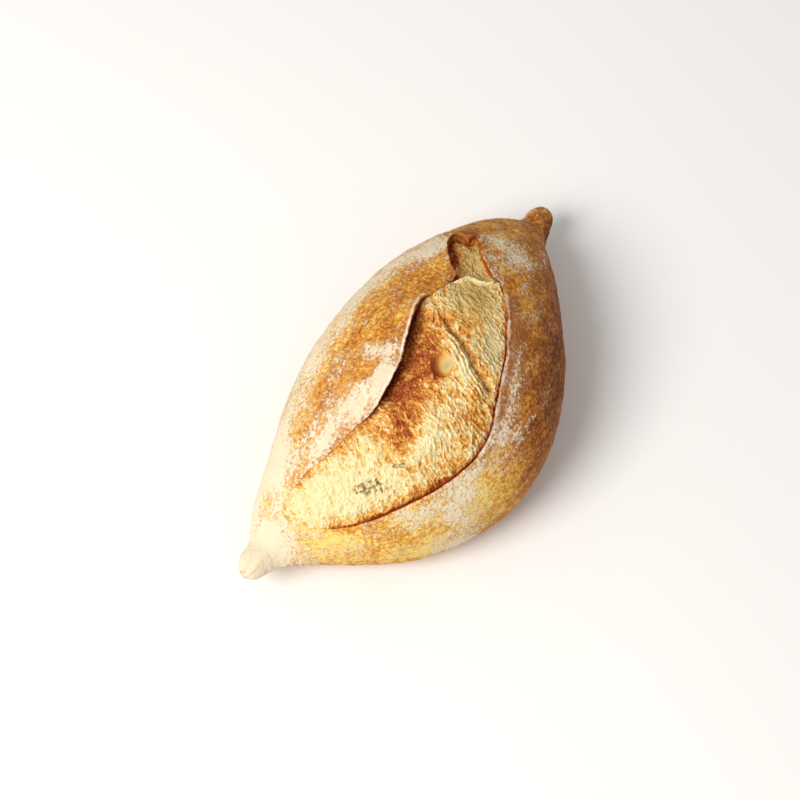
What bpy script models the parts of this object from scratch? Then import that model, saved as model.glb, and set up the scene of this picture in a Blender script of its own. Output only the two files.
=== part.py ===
"""French bread roll: a hand-shaped, slashed and baked roll of one piece, modelled as one solid.

The roll is a pointed loaf with a small nipple at each end and a flat baked base. A long slash has
opened on top, with a raised ear along one side and a tight crease along the other, and a short
second slash follows it towards the far end. Units are metres and +Z is up. +X runs along the roll
to its far tip, and the origin is the bottom centre of its bounding box.
"""

import math
from dataclasses import dataclass

import bmesh
import bpy
import numpy as np
from mathutils import Vector, noise

MM = 0.001
NODE_NAME = "roll"
COLLECTION_NAME = "french_bread_roll"

# Driving dimensions of the loaf
LENGTH = 152 * MM
BODY_HALF_LENGTH = 70.6 * MM
EAR_SIDE_WIDTH = 33.7 * MM
CREASE_SIDE_WIDTH = 42.0 * MM
HEIGHT = 53.0 * MM
CROWN_BEND = 5.4 * MM
WIDEST_SHARE = 0.40

# How full the loaf is towards its ends, as powers of a parabola, and how far its widest place moves
EAR_SIDE_POWER = 0.81
CREASE_SIDE_POWER = 1.10
HEIGHT_POWER = 0.55
CREASE_SIDE_SKEW = -6.6 * MM
HEIGHT_SKEW = 1.5 * MM

# The cross-section: a nearly round top over squarer lower corners and a flat base
TOP_ROUNDNESS = 2.15
LOWER_ROUNDNESS = 3.0
BASE_FLATNESS = 1.05

# The nipples, and how the underside lifts towards them
NIPPLE_RADIUS = 4.5 * MM
NIPPLE_CAP = 7.0 * MM
NIPPLE_BLEND = 4.0 * MM
NEAR_NIPPLE_HEIGHT = 14.0 * MM
FAR_NIPPLE_HEIGHT = 13.0 * MM
NEAR_NIPPLE_SWING = 5.4 * MM
LIFT_START = 40.0 * MM
LIFT_END = 75.0 * MM

# The mesh: rings along the loaf, points round it, and how much denser they are on top
RINGS = 50
SEGMENTS = 48
TOP_DENSITY = 0.38
TIP_DENSITY = 0.62
REFINED_MARGIN = 5.0 * MM
LIP_CENTRE = 0.4 * MM
LIP_MARGIN = 2.3 * MM
SNAP_LEVELS = (0.0, 0.8 * MM)
CURVE_POINTS_PER_SPAN = 12
LEAN_SHARE = 0.5
SAME_PLACE = 0.05 * MM
ANGLE_STEP = 1e-3
PLAN_STEP = 0.2 * MM
TINY = 1e-9

# Slow unevenness of a hand-shaped crust
UNEVENNESS = 0.55 * MM
UNEVENNESS_WAVELENGTH = 21 * MM
BASE_CLEARANCE = 3.0 * MM

CRUST_COLOUR = (0.62, 0.33, 0.11, 1.0)
CRUMB_COLOUR = (0.80, 0.57, 0.26, 1.0)
CRUST_ROUGHNESS = 0.72
CRUMB_ROUGHNESS = 0.88


@dataclass(frozen=True)
class Lip:
    """What the crust does along one stretch of an opening, in millimetres.

    Its edge stands up by rise, fading outwards over reach, and leans over the opening by overhang.
    Inside it the wall comes down over fold, to a groove that fades into the crumb.
    """

    rise: float
    reach: float
    overhang: float
    fold: float
    groove: float
    groove_reach: float


@dataclass(frozen=True)
class Bulge:
    """A rounded rise or hollow of the torn crumb in plan, in millimetres, with its turn in degrees."""

    x: float
    y: float
    long_radius: float
    short_radius: float
    turn: float
    height: float


@dataclass(frozen=True)
class Opening:
    """A slash that has opened: stations round it with their lips, its floor and the floor's bulges."""

    stations: tuple
    floor: float
    bulges: tuple


SEAM = Lip(rise=0.3, reach=3.0, overhang=0.0, fold=0.8, groove=0.5, groove_reach=1.5)
EAR = Lip(rise=2.6, reach=6.0, overhang=1.7, fold=1.4, groove=4.0, groove_reach=6.0)
EAR_END = Lip(rise=0.8, reach=3.0, overhang=0.5, fold=1.1, groove=0.6, groove_reach=2.5)
FILM = Lip(rise=0.3, reach=0.8, overhang=0.0, fold=0.9, groove=-1.3, groove_reach=3.0)
CREASE = Lip(rise=0.9, reach=3.5, overhang=0.3, fold=0.8, groove=2.4, groove_reach=1.4)
CREASE_END = Lip(rise=0.4, reach=3.0, overhang=0.0, fold=0.7, groove=1.0, groove_reach=1.5)
WALL = Lip(rise=0.4, reach=2.5, overhang=0.4, fold=1.0, groove=0.8, groove_reach=1.5)
FLAP = Lip(rise=1.3, reach=2.5, overhang=1.4, fold=1.0, groove=0.8, groove_reach=1.5)

# Stations run from the near end along the ear, across the far end and back along the crease.
MAIN_OPENING = Opening(
    stations=(
        (-58.5, 2.5, SEAM), (-55.5, 5.6, SEAM), (-47.5, 3.5, SEAM), (-38.5, 0.0, SEAM),
        (-28.5, -3.5, SEAM), (-20.0, -5.5, EAR), (-11.5, -4.0, EAR), (-4.0, -2.0, EAR), (0.5, 0.5, EAR),
        (5.5, 2.0, EAR), (12.5, 1.0, EAR_END), (19.0, -0.4, EAR_END), (23.3, -3.2, FILM),
        (25.2, -7.5, FILM), (28.3, -12.5, FILM), (24.5, -16.5, CREASE_END), (17.5, -21.5, CREASE),
        (11.0, -25.5, CREASE), (3.5, -28.5, CREASE), (-3.5, -31.5, CREASE), (-9.5, -34.5, CREASE),
        (-16.0, -35.2, CREASE), (-23.0, -34.0, CREASE), (-34.5, -28.3, CREASE), (-44.5, -21.5, CREASE),
        (-53.0, -13.3, CREASE_END), (-57.5, -5.0, SEAM),
    ),
    floor=-1.0,
    bulges=(
        Bulge(x=-42.0, y=-9.0, long_radius=14.0, short_radius=9.0, turn=-35, height=2.2),
        Bulge(x=-21.0, y=-21.0, long_radius=14.0, short_radius=9.0, turn=-15, height=3.0),
        Bulge(x=-2.0, y=-15.0, long_radius=9.0, short_radius=5.0, turn=-70, height=2.2),
        Bulge(x=16.0, y=-9.0, long_radius=10.0, short_radius=7.0, turn=-50, height=-0.7),
    ),
)
SHORT_OPENING = Opening(
    stations=(
        (22.2, 1.2, WALL), (26.5, 4.8, WALL), (32.0, 8.0, WALL), (38.0, 9.8, FLAP), (42.0, 8.4, FLAP),
        (40.0, 3.5, WALL), (35.5, -1.8, WALL), (32.3, -5.5, WALL), (29.2, -9.4, FILM), (27.2, -6.2, FILM),
        (25.3, -2.0, FILM),
    ),
    floor=-3.0,
    bulges=(Bulge(x=33.0, y=0.5, long_radius=7.0, short_radius=4.0, turn=55, height=0.6),),
)

OPENINGS = (MAIN_OPENING, SHORT_OPENING)

# The fold of crumb that ends against a valley, and the burst bubble beside it
VALLEY_ROUTE = ((9.5, -6.0), (6.0, -12.0), (2.2, -18.5), (-1.2, -27.5))
VALLEY_DEPTH = 1.4
VALLEY_HALF_WIDTH = 1.6
BUBBLE_CENTRE = (-5.0, -12.8)
BUBBLE_RADIUS = 3.6
BUBBLE_DEPTH = 2.3
BUBBLE_ROUNDNESS = 0.8


@dataclass(frozen=True)
class Section:
    """A cross-section of the smooth loaf: how far it reaches each way, and how close it is to a tip."""

    ear_side: np.ndarray
    crease_side: np.ndarray
    centre_y: np.ndarray
    top: np.ndarray
    bottom: np.ndarray
    middle: np.ndarray
    tip_share: np.ndarray


@dataclass(frozen=True)
class Rim:
    """The closed line round an opening, on the loaf, with the way into the opening at each point."""

    points: np.ndarray
    inward: np.ndarray


def smooth_step(value):
    """0 up to 0, 1 from 1 on, and a smooth ramp between."""
    share = np.clip(value, 0.0, 1.0)
    return share * share * (3.0 - 2.0 * share)


def smooth_maximum(first, second, blend):
    """The larger of two arrays, rounded over the width of blend where they meet."""
    share = np.clip(0.5 + 0.5 * (first - second) / blend, 0.0, 1.0)
    return first * share + second * (1.0 - share) + blend * share * (1.0 - share)


def loaf_profile(x, size, power, skew):
    """A half-width or height along the loaf: a parabola to a power, closing at both ends of the body."""
    share = np.clip(x / BODY_HALF_LENGTH, -1.0, 1.0)
    shifted = share - skew / BODY_HALF_LENGTH * (1.0 - share * share)
    return size * np.clip(1.0 - shifted * shifted, 0.0, 1.0) ** power


def section_at(x):
    """The loaf's cross-section at each x."""
    half = LENGTH / 2
    cap = np.sqrt(1.0 - np.clip((np.abs(x) - (half - NIPPLE_CAP)) / NIPPLE_CAP, 0.0, 1.0) ** 2)
    blend = NIPPLE_BLEND * cap + TINY
    nipple = NIPPLE_RADIUS * cap
    near = x < 0.0
    nipple_height = np.where(near, NEAR_NIPPLE_HEIGHT, FAR_NIPPLE_HEIGHT)
    tip_share = smooth_step((np.abs(x) - LIFT_START) / (LIFT_END - LIFT_START))
    ear_body = loaf_profile(x, EAR_SIDE_WIDTH, EAR_SIDE_POWER, 0.0)
    crease_body = loaf_profile(x, CREASE_SIDE_WIDTH, CREASE_SIDE_POWER, CREASE_SIDE_SKEW)
    top_body = loaf_profile(x, HEIGHT, HEIGHT_POWER, HEIGHT_SKEW)
    top = smooth_maximum(top_body, nipple_height + nipple, blend)
    top = np.where(np.abs(x) >= BODY_HALF_LENGTH, nipple_height + nipple, top)
    bottom = (nipple_height - nipple) * tip_share
    crown = -CROWN_BEND * np.clip(1.0 - (x / BODY_HALF_LENGTH) ** 2, 0.0, 1.0)
    return Section(
        ear_side=smooth_maximum(ear_body, nipple, blend),
        crease_side=smooth_maximum(crease_body, nipple, blend),
        centre_y=crown + np.where(near, NEAR_NIPPLE_SWING, 0.0) * tip_share,
        top=top,
        bottom=bottom,
        middle=bottom + (top - bottom) * (WIDEST_SHARE + (0.5 - WIDEST_SHARE) * tip_share),
        tip_share=tip_share,
    )


def loaf_point(along, around):
    """The smooth loaf's surface at two angles: along from the near tip (0 to pi), around from the ear side."""
    spread = TIP_DENSITY * np.cos(along) + (1.0 - TIP_DENSITY) * (1.0 - 2.0 * along / math.pi)
    x = -LENGTH / 2 * spread
    cut = section_at(x)
    turn = around + TOP_DENSITY * np.cos(around)
    sideways, upwards = np.cos(turn), np.sin(turn)
    upper = upwards >= 0.0
    roundness = np.where(upper, TOP_ROUNDNESS, LOWER_ROUNDNESS)
    roundness = roundness + (2.0 - roundness) * cut.tip_share
    flatness = np.where(upper, 1.0, BASE_FLATNESS + (1.0 - BASE_FLATNESS) * cut.tip_share)
    reach_y = np.abs(sideways) ** (2.0 / roundness)
    reach_z = np.minimum(flatness * np.abs(upwards) ** (2.0 / roundness), 1.0)
    y = cut.centre_y + np.where(sideways >= 0.0, cut.ear_side, -cut.crease_side) * reach_y
    z = cut.middle + np.where(upper, cut.top - cut.middle, cut.bottom - cut.middle) * reach_z
    return np.stack([x, y, z], axis=-1)


def top_point(plan):
    """The point of the smooth loaf's upper side above each point of the plan."""
    cut = section_at(plan[:, 0])
    offset = plan[:, 1] - cut.centre_y
    side = np.where(offset >= 0.0, cut.ear_side, cut.crease_side)
    roundness = TOP_ROUNDNESS + (2.0 - TOP_ROUNDNESS) * cut.tip_share
    sideways = np.clip(np.abs(offset) / side, 0.0, 1.0) ** (roundness / 2.0)
    upwards = np.sqrt(1.0 - sideways**2) ** (2.0 / roundness)
    return np.column_stack([plan, cut.middle + (cut.top - cut.middle) * upwards])


def unit(vectors):
    """The vectors at length one."""
    return vectors / np.maximum(np.linalg.norm(vectors, axis=-1, keepdims=True), TINY**2)


def loaf_normal(along, around):
    """The outward normal of the smooth loaf, from small steps along both angles."""
    along = np.clip(along, 4.0 * ANGLE_STEP, math.pi - 4.0 * ANGLE_STEP)
    lengthwise = loaf_point(along + ANGLE_STEP, around) - loaf_point(along - ANGLE_STEP, around)
    crosswise = loaf_point(along, around + ANGLE_STEP) - loaf_point(along, around - ANGLE_STEP)
    return unit(np.cross(crosswise, lengthwise))


def closed_curve(corners):
    """A smooth closed curve through the corners, as points in metres."""
    shares = np.arange(CURVE_POINTS_PER_SPAN)[:, None] / CURVE_POINTS_PER_SPAN
    points = []
    for index in range(len(corners)):
        before, start, end, after = (corners[(index + offset) % len(corners)] for offset in (-1, 0, 1, 2))
        curved = (2.0 * before - 5.0 * start + 4.0 * end - after) * shares**2
        curved = curved + (3.0 * start - before - 3.0 * end + after) * shares**3
        points.append(0.5 * (2.0 * start + (end - before) * shares + curved))
    return np.concatenate(points) * MM


def nearest_on_line(start, end, points):
    """For each point: its distance to the nearest segment, that segment's index and the share along it."""
    step = end - start
    share = ((points[:, None] - start) * step).sum(-1) / (step * step).sum(-1)
    share = np.clip(share, 0.0, 1.0)
    gap = np.linalg.norm(points[:, None] - start - share[..., None] * step, axis=-1)
    index = gap.argmin(axis=1)
    rows = np.arange(len(points))
    return gap[rows, index], index, share[rows, index]


def is_inside(line, plan):
    """Whether each point of the plan lies inside a closed line, by counting the edges that a ray crosses."""
    start, end = line, np.roll(line, -1, axis=0)
    x, y = plan[:, :1], plan[:, 1:]
    spans = (start[:, 1] > y) != (end[:, 1] > y)
    climb = np.where(end[:, 1] == start[:, 1], TINY, end[:, 1] - start[:, 1])
    crossing = start[:, 0] + (y - start[:, 1]) / climb * (end[:, 0] - start[:, 0])
    return (spans & (x < crossing)).sum(axis=1) % 2 == 1


def rim_of(opening):
    """The opening's line on the loaf. The stations run clockwise from above, so inwards is to the right."""
    plan = closed_curve(np.array([station[:2] for station in opening.stations]))
    points = top_point(plan)
    steps = (np.array([PLAN_STEP, 0.0]), np.array([0.0, PLAN_STEP]))
    slopes = [(top_point(plan + step) - top_point(plan - step))[:, 2] / (2.0 * PLAN_STEP) for step in steps]
    upward = unit(np.column_stack([-slopes[0], -slopes[1], np.ones(len(plan))]))
    ahead = unit(np.roll(points, -1, axis=0) - np.roll(points, 1, axis=0))
    return Rim(points=points, inward=unit(np.cross(ahead, upward)))


def rim_field(rim, points):
    """Distance inside a rim, measured on the loaf, the place along its stations, and the way inwards."""
    gap, index, share = nearest_on_line(rim.points, np.roll(rim.points, -1, axis=0), points)
    sign = np.where(is_inside(rim.points[:, :2], points[:, :2]), 1.0, -1.0)
    following = (index + 1) % len(rim.points)
    inward = unit(rim.inward[index] * (1.0 - share[:, None]) + rim.inward[following] * share[:, None])
    return gap * sign, (index + share) / CURVE_POINTS_PER_SPAN, inward


def lip_at(opening, place):
    """The lip's sizes at each place along the stations, in metres, blended from one station to the next."""
    lips = [station[2] for station in opening.stations]
    stops = np.arange(len(lips) + 1)

    def size(name):
        values = [getattr(lip, name) for lip in lips]
        return np.interp(place, stops, values + values[:1]) * MM

    return Lip(*(size(name) for name in Lip.__dataclass_fields__))


def bulge_height(bulge, plan):
    """The rise of one bulge over the plan."""
    turn = math.radians(bulge.turn)
    offset = plan / MM - np.array([bulge.x, bulge.y])
    lengthwise = offset[:, 0] * math.cos(turn) + offset[:, 1] * math.sin(turn)
    crosswise = offset[:, 1] * math.cos(turn) - offset[:, 0] * math.sin(turn)
    spread = (lengthwise / bulge.long_radius) ** 2 + (crosswise / bulge.short_radius) ** 2
    return bulge.height * MM * np.exp(-spread)


def crumb_height(opening, plan):
    """The level of the torn crumb inside an opening, measured out from the smooth loaf."""
    height = opening.floor * MM + sum(bulge_height(bulge, plan) for bulge in opening.bulges)
    if opening is MAIN_OPENING:
        route = np.array(VALLEY_ROUTE) * MM
        gap, _, _ = nearest_on_line(route[:-1], route[1:], plan)
        height = height - VALLEY_DEPTH * MM * np.exp(-((gap / (VALLEY_HALF_WIDTH * MM)) ** 2))
        radius = np.linalg.norm(plan / MM - np.array(BUBBLE_CENTRE), axis=1) / BUBBLE_RADIUS
        height = height - BUBBLE_DEPTH * MM * np.clip(1.0 - radius**2, 0.0, 1.0) ** BUBBLE_ROUNDNESS
    return height


def opening_relief(opening, rim, surface):
    """How far an opening moves each point of the loaf: outwards, and over the opening as a vector."""
    distance, place, inward = rim_field(rim, surface)
    lip = lip_at(opening, place)
    outside = np.minimum(distance, 0.0)
    within = np.maximum(distance, 0.0)
    below_edge = smooth_step(within / lip.fold)
    groove = lip.groove * np.exp(-np.maximum(within - lip.fold, 0.0) / lip.groove_reach)
    edge = lip.rise * np.exp(outside / lip.reach)
    crumb = crumb_height(opening, surface[:, :2]) - groove
    lean = lip.overhang * np.exp(outside / (LEAN_SHARE * lip.reach)) * (1.0 - below_edge)
    return edge * (1.0 - below_edge) + crumb * below_edge, inward * lean[:, None]


def angles_of(points):
    """The two surface angles of points on the unit sphere that the loaf starts as."""
    along = np.arccos(np.clip(-points[:, 0], -1.0, 1.0))
    return along, np.arctan2(points[:, 2], points[:, 1])


def vertex_array(mesh):
    """The mesh's vertices as an array."""
    return np.array([vertex.co for vertex in mesh.verts])


def inside_distance(rims, surface, on_top):
    """The distance inside the nearest opening of each point of the loaf, and far outside where it isn't on top."""
    return np.where(on_top, np.max([rim_field(rim, surface)[0] for rim in rims], axis=0), -LENGTH)


def opening_distance(mesh, rims):
    """The distance inside the nearest opening of each vertex of the starting sphere."""
    along, around = angles_of(vertex_array(mesh))
    return inside_distance(rims, loaf_point(along, around), np.sin(around) > 0.0)


def refine(mesh, chosen):
    """Halves every edge between two chosen vertices."""
    edges = [edge for edge in mesh.edges if all(chosen[vertex.index] for vertex in edge.verts)]
    bmesh.ops.subdivide_edges(mesh, edges=edges, cuts=1, use_grid_fill=True, use_single_edge=True)
    mesh.verts.index_update()


def starting_sphere(rims):
    """A unit sphere of triangles with its poles along X, finer in the openings and finest at their lips."""
    mesh = bmesh.new()
    bmesh.ops.create_uvsphere(mesh, u_segments=SEGMENTS, v_segments=RINGS, radius=1.0)
    for vertex in mesh.verts:
        vertex.co = Vector((vertex.co.z, vertex.co.y, -vertex.co.x))
    mesh.verts.index_update()
    refine(mesh, opening_distance(mesh, rims) > -REFINED_MARGIN)
    refine(mesh, np.abs(opening_distance(mesh, rims) - LIP_CENTRE) < LIP_MARGIN)
    bmesh.ops.triangulate(mesh, faces=mesh.faces)
    return mesh


def snap_to_line(rim, surface, on_top, edges, level):
    """Slides the nearer end of each edge that crosses a line onto that line, which runs level inside the rim."""
    distance, _, inward = rim_field(rim, surface)
    distance = np.where(on_top, distance - level, -LENGTH)
    ends = distance[edges]
    crossing = ends[:, 0] * ends[:, 1] < 0.0
    nearer = np.abs(ends).argmin(axis=1)
    chosen = np.unique(edges[np.arange(len(edges)), nearer][crossing])
    moved = surface.copy()
    moved[chosen] -= distance[chosen, None] * inward[chosen]
    return moved


def unevenness(points):
    """The slow bumps of a hand-shaped crust, left off the base."""
    heights = np.array([noise.noise(Vector(point) / UNEVENNESS_WAVELENGTH) for point in points])
    return UNEVENNESS * heights * smooth_step(points[:, 2] / BASE_CLEARANCE - 1.0)


def baked_points(mesh, rims):
    """The finished place of each vertex of the starting sphere, and its distance inside the openings."""
    edges = np.array([[vertex.index for vertex in edge.verts] for edge in mesh.edges])
    along, around = angles_of(vertex_array(mesh))
    surface = loaf_point(along, around)
    normals = loaf_normal(along, around)
    on_top = np.sin(around) > 0.0
    for rim in rims:
        for level in SNAP_LEVELS:
            surface = snap_to_line(rim, surface, on_top, edges, level)
    baked = surface + normals * unevenness(surface)[:, None]
    for opening, rim in zip(OPENINGS, rims):
        outwards, sideways = opening_relief(opening, rim, surface)
        baked = baked + (normals * outwards[:, None] + sideways) * on_top[:, None]
    baked[:, 2] = np.maximum(baked[:, 2], 0.0)
    return baked, inside_distance(rims, surface, on_top)


def centred(points):
    """The points moved so that the bottom centre of their box is the origin."""
    low, high = points.min(axis=0), points.max(axis=0)
    return points - np.array([(low[0] + high[0]) / 2, (low[1] + high[1]) / 2, low[2]])


def baked_material(name, colour, roughness):
    """A plain Principled material."""
    material = bpy.data.materials.new(name)
    material.use_nodes = True
    shader = material.node_tree.nodes["Principled BSDF"]
    shader.inputs["Base Color"].default_value = colour
    shader.inputs["Roughness"].default_value = roughness
    shader.inputs["Metallic"].default_value = 0.0
    return material


def build_roll(collection):
    """The whole roll as one closed, smooth-shaded mesh object."""
    rims = [rim_of(opening) for opening in OPENINGS]
    mesh = starting_sphere(rims)
    points, distance = baked_points(mesh, rims)
    for vertex, place in zip(mesh.verts, centred(points)):
        vertex.co = place
    for face in mesh.faces:
        face.material_index = int(all(distance[vertex.index] > -SAME_PLACE for vertex in face.verts))
        face.smooth = True
    bmesh.ops.recalc_face_normals(mesh, faces=mesh.faces)
    data = bpy.data.meshes.new(NODE_NAME)
    mesh.to_mesh(data)
    mesh.free()
    data.materials.append(baked_material("browned_crust", CRUST_COLOUR, CRUST_ROUGHNESS))
    data.materials.append(baked_material("torn_crumb", CRUMB_COLOUR, CRUMB_ROUGHNESS))
    roll = bpy.data.objects.new(NODE_NAME, data)
    collection.objects.link(roll)
    return roll


def main():
    """Clears the scene and builds the roll in its own collection."""
    for leftover in list(bpy.data.objects):
        bpy.data.objects.remove(leftover)
    collection = bpy.data.collections.new(COLLECTION_NAME)
    bpy.context.scene.collection.children.link(collection)
    build_roll(collection)


main()
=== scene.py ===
"""French bread roll: the finished look of a hand-shaped, slashed and baked roll.

Two meshes stand for the one solid of the frame. The browned crust has the long slash in it, with a
raised ear on one side, a tight crease on the other and a flap at the far end. The torn crumb swells
up through the slash. +X runs along the roll to its far tip, and +Y is the ear's side. Sizes are in
metres, apart from those of the dataclasses that say millimetres.
"""

import logging
import math
from dataclasses import dataclass, fields
from enum import Enum

import bmesh
import bpy
import numpy as np
from mathutils import Matrix, Vector, kdtree, noise


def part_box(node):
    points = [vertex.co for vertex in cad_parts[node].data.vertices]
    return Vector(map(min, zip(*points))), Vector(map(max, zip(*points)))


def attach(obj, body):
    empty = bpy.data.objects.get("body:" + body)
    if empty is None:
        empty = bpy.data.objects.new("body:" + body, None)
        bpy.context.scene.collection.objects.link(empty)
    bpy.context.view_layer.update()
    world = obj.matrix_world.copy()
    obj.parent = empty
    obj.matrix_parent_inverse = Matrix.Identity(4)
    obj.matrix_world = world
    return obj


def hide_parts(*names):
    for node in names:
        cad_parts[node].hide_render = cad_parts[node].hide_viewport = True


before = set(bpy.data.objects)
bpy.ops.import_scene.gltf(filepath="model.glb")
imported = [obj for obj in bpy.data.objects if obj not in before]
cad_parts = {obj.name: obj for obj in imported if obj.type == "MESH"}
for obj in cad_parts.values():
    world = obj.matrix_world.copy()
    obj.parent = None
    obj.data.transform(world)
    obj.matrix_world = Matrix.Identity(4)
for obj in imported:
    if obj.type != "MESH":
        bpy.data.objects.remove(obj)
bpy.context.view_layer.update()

LOG = logging.getLogger("french_bread_roll")
MM = 0.001
NODE_NAME = "roll"
BODY_NAME = "root"
TINY = 1e-9

Array = np.ndarray
Mesh = bmesh.types.BMesh
Socket = bpy.types.NodeSocket
Colour = tuple[float, float, float, float]
Route = tuple[tuple[float, float], ...]


def linear(red: int, green: int, blue: int) -> Colour:
    """A display colour as the linear colour that shaders take, by the standard display curve.

    Args:
        red, green, blue: The display values, 0 to 255.

    Returns:
        The linear colour with full alpha.
    """
    shares = (value / 255 for value in (red, green, blue))
    curved = (((share + 0.055) / 1.055) ** 2.4 if share > 0.04045 else share / 12.92 for share in shares)
    return (*curved, 1.0)


def smooth_step(value: Array) -> Array:
    """0 up to 0, 1 from 1 on, and a smooth ramp between."""
    share = np.clip(value, 0.0, 1.0)
    return share * share * (3.0 - 2.0 * share)


def smooth_maximum(first: Array, second: Array, blend: Array) -> Array:
    """The larger of two arrays, rounded over the width of blend where they meet."""
    share = np.clip(0.5 + 0.5 * (first - second) / blend, 0.0, 1.0)
    return first * share + second * (1.0 - share) + blend * share * (1.0 - share)


def bell(distance: Array, width: Array | float) -> Array:
    """1 where the distance is 0, fading smoothly to 0 beyond the width on either side."""
    return np.exp(-((distance / width) ** 2))


def unit(vectors: Array) -> Array:
    """The vectors at length one."""
    return vectors / np.maximum(np.linalg.norm(vectors, axis=-1, keepdims=True), TINY**2)


def noise_at(points: Array, wavelength: float, seed: float = 0.0) -> Array:
    """Smooth noise, about -1 to 1, whose bumps are a wavelength apart.

    Args:
        points: Places in metres.
        wavelength: The distance between bumps in metres.
        seed: Moves the pattern, so that two noises of one wavelength differ.

    Returns:
        One value for each point.
    """
    return np.array([noise.noise(Vector(place)) for place in points / wavelength + seed])


def ridges_at(points: Array, wavelength: float, seed: float = 0.0) -> Array:
    """Noise with narrow crests, 1 on a crest and lower beside it."""
    return 1.0 - 2.0 * np.abs(noise_at(points, wavelength, seed))


def cell_walls_at(points: Array, width: float, seed: float = 0.0) -> Array:
    """The thin walls of a foam whose cells are one unit wide.

    Args:
        points: Places, in units of a cell.
        width: How wide a wall's slopes are, in the same units.
        seed: Moves the pattern.

    Returns:
        1 on a wall and 0 inside a cell.
    """
    nearest = [noise.voronoi(Vector(place))[0] for place in points + seed]
    return 1.0 - smooth_step(np.array([far - near for near, far, _, _ in nearest]) / width)


@dataclass(frozen=True)
class Wave:
    """A noise over a surface: how strong it is, its wavelength in millimetres, and its seed."""

    strength: float
    wavelength: float
    seed: float = 0.0

    def at(self, points: Array) -> Array:
        """The noise at each point, up to about its strength either way."""
        return self.strength * noise_at(points, self.wavelength * MM, self.seed)

    def crests(self, points: Array) -> Array:
        """The noise's narrow crests at each point, as high as its strength."""
        return self.strength * ridges_at(points, self.wavelength * MM, self.seed)


@dataclass(frozen=True)
class Ramp:
    """A smooth rise from 0 to 1 that starts at a value and is so wide."""

    start: float
    width: float

    def at(self, value: Array) -> Array:
        """How far up the rise each value lies."""
        return smooth_step((value - self.start) / self.width)


@dataclass(frozen=True)
class Section:
    """A cross-section of the smooth loaf: how far it reaches each way, and how close it is to a tip."""

    ear_side: Array
    crease_side: Array
    centre_y: Array
    top: Array
    bottom: Array
    middle: Array
    tip_share: Array


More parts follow.
